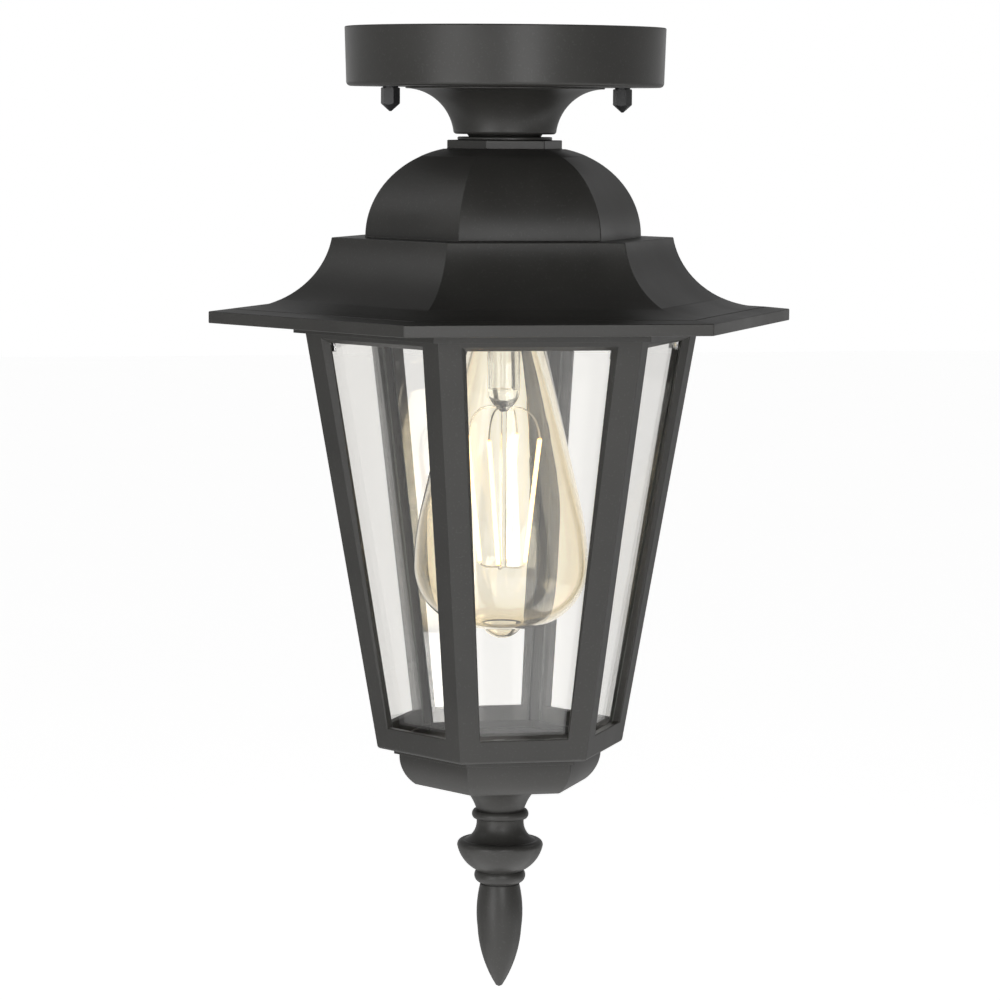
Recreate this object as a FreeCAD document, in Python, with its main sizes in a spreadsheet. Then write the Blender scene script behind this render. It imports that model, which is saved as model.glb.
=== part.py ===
"""Porch ceiling lantern: round canopy, six-sided cast roof, tapered six-pane cage and turned finial.

Millimetres, +Z up.  The origin is the centre of the ceiling plane: the lantern hangs below it.
A flat side of the six-sided castings faces -Y and the two canopy studs lie along X.
"""
import FreeCAD, Part
import Sketcher
import math
import os
import re

VECTOR = FreeCAD.Vector
DOWN_ONE_FACE = 60.0
SIDES = 6
SAME = 0.01
LEFT_RIGHT = (("left", "-"), ("right", ""))

# ---------------------------------------------------------------------------------------------
# Driving dimensions, in millimetres (angles in degrees, counts as plain numbers)
# ---------------------------------------------------------------------------------------------
SIZES = [
    # crossbar and its studs
    ("crossbar_length", 104.0, "strap on the ceiling box, end to end"),
    ("crossbar_width", 18.0, "strap width"),
    ("crossbar_thickness", 2.0, "strap thickness"),
    ("crossbar_corner_radius", 3.6, "rounded corners of the strap"),
    ("crossbar_hole_radius", 5.2, "centre hole of the strap"),
    ("box_screw_spacing", 69.85, "ceiling box screws, centre to centre"),
    ("box_slot_length", 9.0, "slot for a box screw, end to end"),
    ("box_slot_width", 4.6, "slot for a box screw, across"),
    ("stud_spacing", 88.9, "canopy studs, centre to centre"),
    ("stud_shift", 0.8, "how far the strap and its studs sit off the canopy's middle"),
    ("stud_radius", 2.08, "number 8 stud"),
    ("stud_bite", 4.6, "stud length inside the cap nut"),
    ("stud_hole_clearance", 0.45, "radial room round a stud in the canopy"),
    ("thread_clearance", 0.05, "radial room between a thread and its nut"),
    ("stud_nut_across_flats", 8.7, "lock nut under the strap"),
    ("stud_nut_height", 3.2, "lock nut height"),
    ("ground_screw_reach", 19.0, "ground screw from the strap centre"),
    ("ground_screw_radius", 1.9, "ground screw shank"),
    ("ground_head_radius", 3.9, "ground screw head"),
    ("ground_head_height", 2.2, "ground screw head height"),
    # cap nuts
    ("cap_nut_across_flats", 6.3, "cap nut body"),
    ("cap_nut_height", 5.9, "cap nut body to the root of its point"),
    ("cap_nut_point", 2.9, "height of the point"),
    ("cap_nut_tip_radius", 0.4, "flat on the point"),
    ("cap_nut_collar_radius", 2.9, "round collar on top of the nut"),
    ("cap_nut_collar_height", 0.5, "collar height"),
    ("cap_nut_turn", -22.0, "turn of the nut's flats about its stud"),
    ("cap_nut_spare_depth", 0.6, "room in the bore past the stud end"),
    # canopy
    ("canopy_radius", 60.2, "canopy at the ceiling"),
    ("canopy_low_radius", 59.5, "canopy at its underside"),
    ("canopy_height", 22.2, "ceiling to canopy underside"),
    ("canopy_wall", 2.0, "canopy casting wall"),
    ("canopy_corner_radius", 1.7, "rounding of the canopy underside edge"),
    ("canopy_rim_radius", 0.5, "rounding of the canopy top edge"),
    # threaded pipe through canopy, neck and roof
    ("pipe_radius", 4.8, "threaded pipe, outside"),
    ("pipe_bore_radius", 3.6, "threaded pipe, bore"),
    ("pipe_hole_clearance", 0.3, "radial room for the pipe in the castings"),
    ("pipe_rise", 6.0, "pipe above the canopy floor"),
    ("pipe_drop", 9.0, "pipe below the inside of the crown"),
    ("pipe_nut_across_flats", 14.0, "nut on the threaded pipe"),
    ("pipe_nut_height", 3.4, "height of that nut"),
    ("lock_washer_radius", 8.2, "toothed washer under the nut"),
    ("lock_washer_thickness", 0.8, "toothed washer thickness"),
    # neck, spacer and washer plate
    ("neck_flange_radius", 37.4, "thin lip of the bell-shaped neck"),
    ("neck_flange_thickness", 0.7, "thin lip thickness"),
    ("neck_curve_radius", 18.2, "hollow curve of the neck"),
    ("neck_height", 17.6, "neck, top to foot"),
    ("neck_wall", 2.5, "neck casting wall"),
    ("neck_floor", 3.0, "thickness of the neck foot"),
    ("neck_foot_radius", 1.3, "rounding at the foot of the neck"),
    ("spacer_radius", 14.2, "short tapered spacer under the neck, at its top"),
    ("spacer_foot_radius", 13.5, "spacer at its foot"),
    ("spacer_height", 1.0, "spacer height"),
    ("plate_radius", 17.8, "round plate on the roof boss"),
    ("plate_thickness", 1.2, "round plate thickness"),
    # roof casting
    ("roof_wall", 2.5, "roof casting wall"),
    ("boss_across_flats", 38.3, "six-sided boss on the crown"),
    ("boss_height", 3.3, "boss above the dome"),
    ("dome_top_across_flats", 40.6, "dome at its top"),
    ("dome_across_flats", 92.0, "dome at its base"),
    ("dome_curve_radius", 33.5, "rounding of each dome facet"),
    ("dome_height", 32.5, "dome, from boss to base"),
    ("dome_foot", 0.6, "upright strip at the dome base"),
    ("ledge_across_flats", 113.9, "ledge round the dome, where the skirt starts"),
    ("skirt_across_flats", 175.8, "flared skirt at its foot"),
    ("skirt_curve_radius", 31.3, "hollow curve of each skirt facet"),
    ("skirt_height", 26.5, "skirt, from ledge to foot"),
    ("groove_depth", 0.7, "groove at the skirt foot, depth"),
    ("groove_width", 1.0, "groove at the skirt foot, width"),
    ("eave_across_flats", 193.9, "eave rim, across flats"),
    ("eave_fall", 0.9, "fall of the eave top, groove to edge"),
    ("eave_thickness", 4.35, "eave rim edge height"),
    ("eave_foot_width", 5.4, "flat underside of the eave rim"),
    ("seat_across_flats", 134.0, "inner ring that the cage seats on"),
    ("seat_wall", 2.5, "seat ring wall"),
    # cage casting
    ("flange_across_flats", 138.7, "thin flange under the eave"),
    ("flange_thickness", 3.75, "flange thickness"),
    ("cage_top_across_flats", 130.8, "cage under its flange"),
    ("cage_foot_across_flats", 82.4, "cage at its foot"),
    ("cage_height", 157.9, "flange underside to cage foot"),
    ("cage_wall", 3.0, "post and rail wall, square to the face"),
    ("cage_foot_radius", 1.4, "rounding of the cage foot edge"),
    ("window_top_width", 53.8, "clear opening at its top"),
    ("window_foot_width", 33.1, "clear opening at its foot"),
    ("window_top_margin", 3.8, "flange to the clear opening"),
    ("window_foot_margin", 7.9, "cage foot to the clear opening"),
    ("bevel_width", 2.0, "bevel round the opening, across"),
    ("bevel_depth", 2.4, "bevel round the opening, deep"),
    ("rib_width", 4.0, "rib behind each post"),
    ("rib_depth", 3.0, "how far the rib stands in from the post"),
    ("floor_raise", 1.0, "lantern floor above the cage foot"),
    ("floor_step", 2.1, "step under the floor, below the cage foot"),
    ("step_across_flats", 71.6, "step under the floor, across flats"),
    ("sill_height", 5.0, "upstand that the panes stand behind"),
    ("sill_wall", 0.8, "upstand wall"),
    ("floor_plate_across_flats", 68.6, "loose floor plate, across flats"),
    ("floor_plate_thickness", 1.5, "loose floor plate thickness"),
    ("floor_plate_fit", 0.1, "gap round the floor plate"),
    ("floor_opening_across_flats", 65.6, "opening in the foot of the cage, across flats"),
    ("lug_reach", 59.0, "cage screw from the lantern axis"),
    ("lug_width", 9.0, "lug for a cage screw"),
    ("lug_count", 3, "cage screws"),
    # screws that hold the cage to the roof
    ("cage_screw_radius", 2.0, "cage screw shank"),
    ("cage_screw_length", 14.0, "cage screw shank above its head"),
    ("cage_screw_head_radius", 3.6, "cage screw head"),
    ("cage_screw_head_height", 2.3, "cage screw head height"),
    ("cage_screw_clearance", 0.3, "radial room in the lug"),
    ("screw_head_taper", 0.75, "top of a screw head over its rim"),
    ("roof_boss_radius", 4.2, "pillar in the roof for a cage screw"),
    # panes and their clips
    ("glass_thickness", 2.5, "pane thickness"),
    ("glass_gap", 0.2, "pane behind the wall"),
    ("glass_side_clearance", 0.5, "pane edge to the rib"),
    ("glass_top_clearance", 1.0, "pane below the flange"),
    ("glass_foot_clearance", 0.3, "pane above the floor"),
    ("clip_thickness", 0.6, "spring clip sheet"),
    ("clip_height", 5.0, "spring clip, up the post"),
    ("clip_span", 17.0, "spring clip, across the post"),
    ("clip_screw_radius", 1.1, "clip screw shank"),
    ("clip_screw_head_radius", 2.2, "clip screw head"),
    ("clip_screw_head_height", 1.3, "clip screw head height"),
    ("clip_screw_bite", 2.8, "clip screw inside the rib"),
    # bottom cup and finial
    ("cup_across_flats", 68.2, "bottom cup, upper edge"),
    ("cup_foot_across_flats", 57.2, "bottom cup, underside"),
    ("cup_curve_radius", 14.3, "rounding of each cup side"),
    ("cup_straight", 0.9, "upright strip at the cup edge"),
    ("cup_height", 12.1, "bottom cup height"),
    ("cup_wall", 2.5, "bottom cup wall"),
    ("low_pipe_rise", 0.5, "lower pipe above the lantern floor"),
    ("low_pipe_bite", 12.0, "lower pipe inside the finial"),
    ("finial_height", 79.6, "finial, top to tip"),
    ("finial_top_radius", 14.6, "finial top disc"),
    ("finial_top_height", 1.8, "finial top disc, edge height"),
    ("finial_flare_height", 8.8, "flare below the disc"),
    ("finial_flare_curve", 18.0, "hollow curve of the flare"),
    ("finial_neck_radius", 9.1, "finial below the top flare"),
    ("finial_ring_height", 3.2, "first turned ring, height"),
    ("finial_ring_radius", 10.1, "first turned ring, at its edges"),
    ("finial_ring_curve", 2.1, "rounding of the first ring"),
    ("finial_waist_radius", 9.0, "finial waist"),
    ("finial_waist_height", 1.5, "finial waist height"),
    ("finial_cove_radius", 13.6, "foot of the cove above the bowl"),
    ("finial_cove_height", 6.9, "cove height"),
    ("finial_cove_curve", 7.5, "hollow curve of the cove"),
    ("finial_rim_height", 2.1, "bowl rim, cove to widest"),
    ("finial_bowl_radius", 16.4, "finial bowl rim"),
    ("finial_bowl_curve", 13.8, "rounding under the bowl"),
    ("finial_bowl_height", 9.6, "bowl below its rim"),
    ("finial_stem_radius", 9.0, "finial below the bowl"),
    ("finial_bead_radius", 7.5, "second turned ring, at its foot"),
    ("finial_bead_height", 5.0, "second turned ring, height"),
    ("finial_bead_curve", 3.06, "rounding of the second ring"),
    ("finial_groove_radius", 7.1, "groove between ring and spear"),
    ("finial_groove_height", 0.4, "groove height"),
    ("finial_spear_neck_radius", 7.5, "spear at its top"),
    ("finial_spear_height", 17.1, "spear above its point"),
    ("finial_spear_long_curve", 46.0, "long rounding of the spear"),
    ("finial_spear_radius", 8.4, "spear where its point starts"),
    ("finial_spear_curve", 47.6, "rounding of the spear point"),
    ("finial_tip_radius", 1.2, "spear tip"),
    # lampholder
    ("holder_radius", 19.5, "lampholder shell, outside"),
    ("holder_wall", 2.2, "lampholder shell wall"),
    ("holder_mouth_drop", 0.8, "holder mouth below the top of the lamp glass"),
    ("holder_cap_height", 13.0, "domed holder cap"),
    ("holder_hub_radius", 8.0, "hub of the holder cap"),
    ("holder_hub_height", 8.0, "hub above the domed cap"),
    ("holder_base_thickness", 7.0, "ceramic base in the holder"),
    ("holder_fit", 0.3, "room between ceramic base and shell"),
    ("shell_wall", 0.5, "brass screw shell wall"),
    ("lamp_fit", 0.08, "radial room between lamp cap and screw shell"),
    ("contact_thickness", 0.6, "centre contact strip"),
    ("contact_width", 6.0, "centre contact strip width"),
    ("contact_drop", 4.4, "ceramic base to the lamp contact"),
    ("shell_grip", 20.25, "how much of the lamp cap the screw shell covers"),
    ("shell_eye_radius", 9.8, "opening in the top of the screw shell"),
    # lamp
    ("lamp_length", 142.0, "lamp, contact to tip"),
    ("lamp_reach", 88.3, "ceiling to the lamp contact"),
    ("lamp_cap_radius", 13.05, "lamp screw cap"),
    ("lamp_cap_height", 22.5, "screw cap height"),
    ("lamp_cap_wall", 0.5, "screw cap sheet"),
    ("lamp_insulator_radius", 9.0, "glass insulator in the cap"),
    ("lamp_insulator_height", 2.6, "insulator height"),
    ("lamp_contact_radius", 4.6, "centre contact"),
    ("lamp_contact_height", 1.4, "centre contact height"),
    ("lamp_contact_taper", 0.7, "top of the centre contact over its root"),
    ("lamp_cap_shoulder", 1.5, "sloping shoulder of the screw cap"),
    ("lamp_neck_radius", 15.3, "glass just below the cap"),
    ("lamp_neck_height", 2.6, "cap foot to the start of the cone"),
    ("lamp_radius", 32.4, "glass, widest"),
    ("lamp_shoulder_curve", 98.0, "long rounding above the widest part"),
    ("lamp_shoulder_height", 21.0, "height of that rounding"),
    ("lamp_belly_curve", 23.3, "rounding below the widest part"),
    ("lamp_tip_height", 4.6, "blown tip"),
    ("lamp_tip_radius", 7.6, "blown tip, at its root"),
    ("lamp_glass_wall", 0.9, "lamp glass wall"),
    ("lamp_stem_radius", 6.2, "glass stem tube"),
    ("lamp_stem_length", 24.0, "stem tube below the cap foot"),
    ("lamp_flare_drop", 9.0, "rim of the stem's flare, below the top of the screw cap"),
    ("lamp_glass_drop", 7.5, "upper end of the lamp glass, below the top of the screw cap"),
    ("lamp_cement_gap", 0.32, "cement between lamp glass and screw cap"),
    ("lamp_pinch_radius", 2.8, "stem where it is pinched on the rod"),
    ("lamp_pinch_height", 4.2, "cone from stem to pinch"),
    ("lamp_rod_radius", 1.4, "glass rod"),
    ("lamp_rod_foot", 26.6, "rod end above the lamp tip"),
    ("filament_count", 4, "filament rods"),
    ("filament_radius", 0.85, "filament rod"),
    ("filament_top_reach", 14.6, "upper end from the lamp axis"),
    ("filament_foot_reach", 8.6, "lower end from the lamp axis"),
    ("filament_top_turn", -33.0, "turn of the upper ends about the axis"),
    ("filament_foot_turn", -22.0, "turn of the lower ends about the axis"),
    ("filament_length", 48.0, "filament rod height"),
    ("filament_foot_rise", 2.0, "filament foot above the rod end"),
    ("support_radius", 0.35, "support wire"),
    # leads and their connectors
    ("lead_radius", 1.15, "insulated lead"),
    ("lead_offset", 1.45, "lead from the pipe axis"),
    ("lead_base_offset", 7.0, "lead from the axis at the ceramic base"),
    ("lead_level", 9.6, "ceiling to the leads inside the canopy"),
    ("lead_run", 20.0, "lead from the axis to its connector"),
    ("lead_bend", 3.4, "lead bend at the pipe mouth"),
    ("connector_radius", 5.0, "twist-on connector, wide end"),
    ("connector_point_radius", 3.4, "twist-on connector, closed end"),
    ("connector_length", 17.0, "twist-on connector"),
    ("connector_cover", 5.0, "lead inside its connector"),
]


# ---------------------------------------------------------------------------------------------
# Document, sheet and expression helpers
# ---------------------------------------------------------------------------------------------
DOC = FreeCAD.newDocument("porch_ceiling_lantern")
SHEET = DOC.addObject("Spreadsheet::Sheet", "Sizes")
for row, (alias, size, meaning) in enumerate(SIZES, start=1):
    SHEET.set("A%d" % row, alias)
    SHEET.set("B%d" % row, str(size))
    SHEET.set("C%d" % row, meaning)
    SHEET.setAlias("B%d" % row, alias)
DOC.recompute()
PROBE = DOC.addObject("App::FeaturePython", "Probe")
ALIASES = set(alias for alias, size, meaning in SIZES)


def bound(text):
    """Expression text with every size name pointed at its cell in the sheet."""
    return re.sub(r"[a-z_]+", lambda m: "Sizes." + m.group(0) if m.group(0) in ALIASES else m.group(0), text)


def value(text):
    """The number that an expression gives at the sheet's present sizes."""
    result = PROBE.evalExpression(bound(text))
    return float(getattr(result, "Value", result))


def bind(thing, **properties):
    """Tie properties of an object to expressions in the sheet's sizes."""
    for name, text in properties.items():
        thing.setExpression(name, bound(text))


def place(thing, level, turn=None):
    """Seat an object at a height below the ceiling, and turn it about the lantern axis."""
    if turn is not None:
        thing.Placement = FreeCAD.Placement(VECTOR(), FreeCAD.Rotation(VECTOR(0, 0, 1), turn))
    thing.setExpression("Placement.Base.z", bound(level))
    return thing


# heights of the stacked pieces below the ceiling plane
CANOPY_UNDERSIDE = "-canopy_height"
CANOPY_FLOOR = CANOPY_UNDERSIDE + " + canopy_wall"
NECK_FOOT = CANOPY_UNDERSIDE + " - neck_height"
SPACER_FOOT = NECK_FOOT + " - spacer_height"
ROOF_TOP = SPACER_FOOT + " - plate_thickness"
CROWN_INSIDE = ROOF_TOP + " - boss_height - roof_wall"
EAVE_UNDERSIDE = ROOF_TOP + " - boss_height - dome_height - dome_foot - skirt_height - eave_fall - eave_thickness"
CAGE_TOP = EAVE_UNDERSIDE + " - flange_thickness"
CAGE_FOOT = CAGE_TOP + " - cage_height"
FLOOR_TOP = CAGE_FOOT + " + floor_raise"
CUP_TOP = CAGE_FOOT + " - floor_step"
CUP_FOOT = CUP_TOP + " - cup_height"
LAMP_TOP = "-lamp_reach"
BASE_UNDERSIDE = LAMP_TOP + " + contact_drop"
BASE_TOP = BASE_UNDERSIDE + " + holder_base_thickness"
PIPE_END = CROWN_INSIDE + " - pipe_drop"
ACROSS_TO_CORNER = "/ 2 / cos(30)"
CAGE_SLOPE = "((cage_top_across_flats - cage_foot_across_flats) / 2 / cage_height)"
SLANT = "sqrt(1 + %s^2)" % CAGE_SLOPE


def origin_plane(body, role):
    """One of a body's own origin planes."""
    return next(feature for feature in body.Origin.OriginFeatures if feature.Role == role)


def new_body(label):
    """An empty part-design body with its label."""
    body = DOC.addObject("PartDesign::Body", label)
    body.Label = label
    return body


def sketch_on(body, name, role, height=None):
    """An empty sketch on an origin plane, optionally lifted along the plane's normal."""
    sketch = body.newObject("Sketcher::SketchObject", name)
    sketch.AttachmentSupport = [(origin_plane(body, role), "")]
    sketch.MapMode = "FlatFace"
    if height is not None:
        sketch.setExpression("AttachmentOffset.Base.z", bound(height))
    return sketch


def arc_between(start, end, radius):
    """The short arc from start to end; a positive radius keeps its centre on the left."""
    chord = VECTOR(end[0] - start[0], end[1] - start[1], 0)
    half = chord.Length / 2
    rise = math.sqrt(max(radius * radius - half * half, 0.0))
    left = VECTOR(-chord.y, chord.x, 0) / chord.Length
    side = 1 if radius > 0 else -1
    centre = VECTOR(start[0], start[1], 0) + chord / 2 + left * rise * side
    first, last = (start, end) if side > 0 else (end, start)
    start_angle = math.atan2(first[1] - centre.y, first[0] - centre.x)
    end_angle = math.atan2(last[1] - centre.y, last[0] - centre.x)
    return Part.ArcOfCircle(Part.Circle(centre, VECTOR(0, 0, 1), abs(radius)), start_angle, end_angle)


def draw_outline(sketch, outline):
    """A closed outline whose corners and radii are bound to the sheet.

    Each corner is (across, up), or (across, up, radius) where an arc leads to it from the
    corner before; a radius that starts with a minus sign keeps the arc's centre on the right.
    """
    corners = [(value(corner[0]), value(corner[1])) for corner in outline]
    ends = []
    for index, corner in enumerate(outline):
        start, end = corners[index - 1], corners[index]
        if len(corner) == 2:
            segment = sketch.addGeometry(Part.LineSegment(VECTOR(*start, 0), VECTOR(*end, 0)))
            ends.append((segment, 1, 2))
            continue
        turned_right = corner[2].startswith("-")
        size = corner[2].lstrip("-")
        radius = -value(size) if turned_right else value(size)
        segment = sketch.addGeometry(arc_between(start, end, radius))
        ends.append((segment, 2, 1) if turned_right else (segment, 1, 2))
        ring = sketch.addConstraint(Sketcher.Constraint("Radius", segment, abs(radius)))
        sketch.setExpression("Constraints[%d]" % ring, bound(size))
    for index, corner in enumerate(outline):
        segment, start_point, end_point = ends[index]
        following, next_start, next_end = ends[(index + 1) % len(ends)]
        sketch.addConstraint(Sketcher.Constraint("Coincident", segment, end_point, following, next_start))
        for kind, size, text in zip(("DistanceX", "DistanceY"), corners[index], corner[:2]):
            held = sketch.addConstraint(Sketcher.Constraint(kind, -1, 1, segment, end_point, size))
            sketch.setExpression("Constraints[%d]" % held, bound(text))
    return sketch


def draw_circle(sketch, radius, across="0", up="0"):
    """A circle bound to the sheet."""
    centre = VECTOR(value(across), value(up), 0)
    ring = sketch.addGeometry(Part.Circle(centre, VECTOR(0, 0, 1), value(radius)))
    for kind, size, text in (("DistanceX", centre.x, across), ("DistanceY", centre.y, up)):
        held = sketch.addConstraint(Sketcher.Constraint(kind, -1, 1, ring, 3, size))
        sketch.setExpression("Constraints[%d]" % held, bound(text))
    size = sketch.addConstraint(Sketcher.Constraint("Radius", ring, value(radius)))
    sketch.setExpression("Constraints[%d]" % size, bound(radius))
    return sketch


def hexagon_corners(across_flats, turn=0):
    """Corners of a hexagon; unturned, a flat faces -Y, and turned by 30 a corner does."""
    reach = "(%s) %s" % (across_flats, ACROSS_TO_CORNER)
    angles = ["(%s + %s)" % (turn, DOWN_ONE_FACE * side) for side in range(SIDES)]
    return [("%s * cos(%s)" % (reach, angle), "%s * sin(%s)" % (reach, angle)) for angle in angles]


def box_corners(across, up, across_centre="0", up_centre="0"):
    """Corners of a rectangle."""
    signs = [(-1, -1), (1, -1), (1, 1), (-1, 1)]
    return [("%s + %d * (%s) / 2" % (across_centre, sx, across), "%s + %d * (%s) / 2" % (up_centre, sy, up))
            for sx, sy in signs]


def pad(body, sketch, length, reverse=False):
    """Pad a sketch along its plane's normal, or against it."""
    feature = body.newObject("PartDesign::Pad", sketch.Name + "_pad")
    feature.Profile = sketch
    feature.Reversed = reverse
    bind(feature, Length=length)
    return feature


def pocket(body, sketch, length, reverse=False):
    """Cut a sketch against its plane's normal, or along it."""
    feature = body.newObject("PartDesign::Pocket", sketch.Name + "_cut")
    feature.Profile = sketch
    feature.Reversed = reverse
    bind(feature, Length=length)
    return feature


def loft(body, sketches, cut=False):
    """A straight-sided loft between two sketches, added or cut."""
    kind = "PartDesign::SubtractiveLoft" if cut else "PartDesign::AdditiveLoft"
    feature = body.newObject(kind, sketches[0].Name + "_loft")
    feature.Profile = sketches[0]
    feature.Sections = sketches[1:]
    feature.Ruled = True
    return feature


def turn_about_axis(body, sketch, cut=False):
    """Revolve a half outline about the body's Z axis."""
    kind = "PartDesign::Groove" if cut else "PartDesign::Revolution"
    feature = body.newObject(kind, sketch.Name + "_turned")
    feature.Profile = sketch
    feature.ReferenceAxis = (sketch, ["V_Axis"])
    feature.Angle = 360.0
    return feature


def repeat_round(body, features, count):
    """Repeat features round the body's Z axis."""
    pattern = body.newObject("PartDesign::PolarPattern", features[0].Name + "_round")
    pattern.Originals = features
    pattern.Axis = (origin_line(body, "Z_Axis"), [""])
    pattern.Angle = 360.0
    bind(pattern, Occurrences=count)
    body.Tip = pattern
    return pattern


def origin_line(body, role):
    """One of a body's own origin axes."""
    return next(feature for feature in body.Origin.OriginFeatures if feature.Role == role)


def turned_body(label, outline):
    """A body turned from one half outline given as (radius, height)."""
    body = new_body(label)
    turn_about_axis(body, draw_outline(sketch_on(body, label + "_outline", "XZ_Plane"), outline))
    return body


def hexagon_sweep(body, name, path_across, outline):
    """Sweep a wall section round a hexagon with mitred corners.

    The section's first number is the distance from the axis to the flat of the hexagon, so
    each side keeps the section's true shape and neighbouring sides meet on the corner lines.
    """
    path = sketch_on(body, name + "_path", "XY_Plane")
    reach = "(%s) %s" % (path_across, ACROSS_TO_CORNER)
    start = ("0", "-(%s) / 2" % path_across)
    angles = [-DOWN_ONE_FACE + DOWN_ONE_FACE * side for side in range(SIDES)]
    corners = [("%s * cos(%s)" % (reach, angle), "%s * sin(%s)" % (reach, angle)) for angle in angles]
    draw_outline(path, corners + [start])
    section = sketch_on(body, name + "_section", "YZ_Plane")
    draw_outline(section, [("-(%s)" % corner[0], corner[1]) + mirrored(corner[2:]) for corner in outline])
    sweep = body.newObject("PartDesign::AdditivePipe", name + "_sweep")
    sweep.Profile = section
    sweep.Spine = (path, ["Edge%d" % (side + 1) for side in range(SIDES + 1)])
    sweep.Transition = "Right corner"
    return sweep


def mirrored(radius):
    """The radius of a mirrored arc: its centre changes sides."""
    if not radius:
        return ()
    return (radius[0][1:],) if radius[0].startswith("-") else ("-" + radius[0],)


def drilled_body(label, sketch_corners, length, bore):
    """A prism hanging from z = 0 with a round bore through it."""
    body = new_body(label)
    outline = sketch_on(body, label + "_outline", "XY_Plane")
    draw_outline(outline, sketch_corners)
    pad(body, outline, length, reverse=True)
    hole = draw_circle(sketch_on(body, label + "_bore", "XY_Plane"), bore)
    pocket(body, hole, length)
    return body


def ring_body(label, outer, bore, height):
    """A flat round ring hanging from z = 0."""
    outline = [(bore, "0"), (outer, "0"), (outer, "-(%s)" % height), (bore, "-(%s)" % height)]
    return turned_body(label, outline)


def round_edges(body, size, chosen, name):
    """Fillet the tip's edges that a test on their two end points picks."""
    DOC.recompute()
    tip = body.Tip
    edges = []
    for number, edge in enumerate(tip.Shape.Edges, start=1):
        points = [vertex.Point for vertex in edge.Vertexes]
        if chosen(points):
            edges.append("Edge%d" % number)
    fillet = body.newObject("PartDesign::Fillet", name)
    fillet.Base = (tip, edges)
    bind(fillet, Radius=size)
    return fillet


def copies(label, prototype_shapes):
    """Separate like solids kept as one node."""
    group = DOC.addObject("Part::Compound", label)
    group.Label = label
    group.Links = prototype_shapes
    return group


def copy_at(prototype, name, x="0", y="0", level="0", turn=0.0):
    """A placed copy of a prototype body."""
    link = DOC.addObject("App::Link", name)
    link.LinkedObject = prototype
    link.LinkTransform = False
    link.Placement = FreeCAD.Placement(VECTOR(), FreeCAD.Rotation(VECTOR(0, 0, 1), turn))
    link.setExpression("Placement.Base.x", bound(x))
    link.setExpression("Placement.Base.y", bound(y))
    link.setExpression("Placement.Base.z", bound(level))
    return link


NODES = []


def keep(thing):
    """Register a finished sub-part for export."""
    NODES.append(thing)
    return thing


# ---------------------------------------------------------------------------------------------
# Ceiling strap and canopy
# ---------------------------------------------------------------------------------------------
def crossbar():
    """Steel strap screwed to the ceiling box, with two tapped holes for the canopy studs."""
    body = new_body("crossbar")
    outline = sketch_on(body, "strap_outline", "XY_Plane")
    draw_outline(outline, box_corners("crossbar_length", "crossbar_width", "stud_shift"))
    body.Tip = pad(body, outline, "crossbar_thickness", reverse=True)
    ends = [value("stud_shift - crossbar_length / 2"), value("stud_shift + crossbar_length / 2")]
    round_edges(body, "crossbar_corner_radius", lambda points: on_one_upright(points, ends), "strap_corners")
    eye = draw_circle(sketch_on(body, "strap_eye", "XY_Plane"), "crossbar_hole_radius", "stud_shift")
    pocket(body, eye, "crossbar_thickness")
    tapped = sketch_on(body, "strap_tapped_holes", "XY_Plane")
    for side in ("-", ""):
        draw_circle(tapped, "stud_radius + thread_clearance", side + "stud_spacing / 2 + stud_shift")
    pocket(body, tapped, "crossbar_thickness")
    ground = sketch_on(body, "strap_ground_hole", "XY_Plane")
    draw_circle(ground, "ground_screw_radius + thread_clearance", "ground_screw_reach + stud_shift")
    pocket(body, ground, "crossbar_thickness")
    middles = sketch_on(body, "strap_slot_middles", "XY_Plane")
    ends = sketch_on(body, "strap_slot_ends", "XY_Plane")
    straight = "(box_slot_length - box_slot_width)"
    for side in ("-", ""):
        centre = side + "box_screw_spacing / 2"
        draw_outline(middles, box_corners(straight, "box_slot_width", centre))
        for end in ("-", "+"):
            draw_circle(ends, "box_slot_width / 2", "%s %s %s / 2" % (centre, end, straight))
    pocket(body, middles, "crossbar_thickness")
    pocket(body, ends, "crossbar_thickness")
    return keep(body)


def on_one_upright(points, ends):
    """True for a short upright edge at one of the strap's two ends."""
    at_end = all(min(abs(point.x - end) for end in ends) < SAME for point in points)
    return at_end and len(points) == 2 and abs(points[0].z - points[1].z) > SAME


def mounting_studs():
    """Two threaded studs that run from the strap down through the canopy into the cap nuts."""
    stud = new_body("stud")
    round_end = draw_circle(sketch_on(stud, "stud_outline", "XY_Plane"), "stud_radius")
    pad(stud, round_end, "canopy_height + stud_bite", reverse=True)
    sides = [copy_at(stud, "stud_" + name, x=sign + "stud_spacing / 2 + stud_shift") for name, sign in LEFT_RIGHT]
    keep(copies("mounting_studs", sides))


def stud_nuts():
    """Hexagon nuts that lock the studs under the strap."""
    nut = drilled_body("stud_nut", hexagon_corners("stud_nut_across_flats", 30), "stud_nut_height",
                       "stud_radius + thread_clearance")
    sides = [copy_at(nut, "stud_nut_" + name, x=sign + "stud_spacing / 2 + stud_shift", level="-crossbar_thickness")
             for name, sign in LEFT_RIGHT]
    keep(copies("stud_nuts", sides))


def ground_screw():
    """Green earthing screw in the strap."""
    body = turned_body("ground_screw", [
        ("0", "0"), ("ground_screw_radius", "0"), ("ground_screw_radius", "-crossbar_thickness"),
        ("ground_head_radius", "-crossbar_thickness"),
        ("ground_head_radius", "-crossbar_thickness - ground_head_height / 2"),
        ("ground_head_radius * screw_head_taper", "-crossbar_thickness - ground_head_height"),
        ("0", "-crossbar_thickness - ground_head_height")])
    bind(body, **{"Placement.Base.x": "ground_screw_reach + stud_shift"})
    return keep(body)


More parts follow.
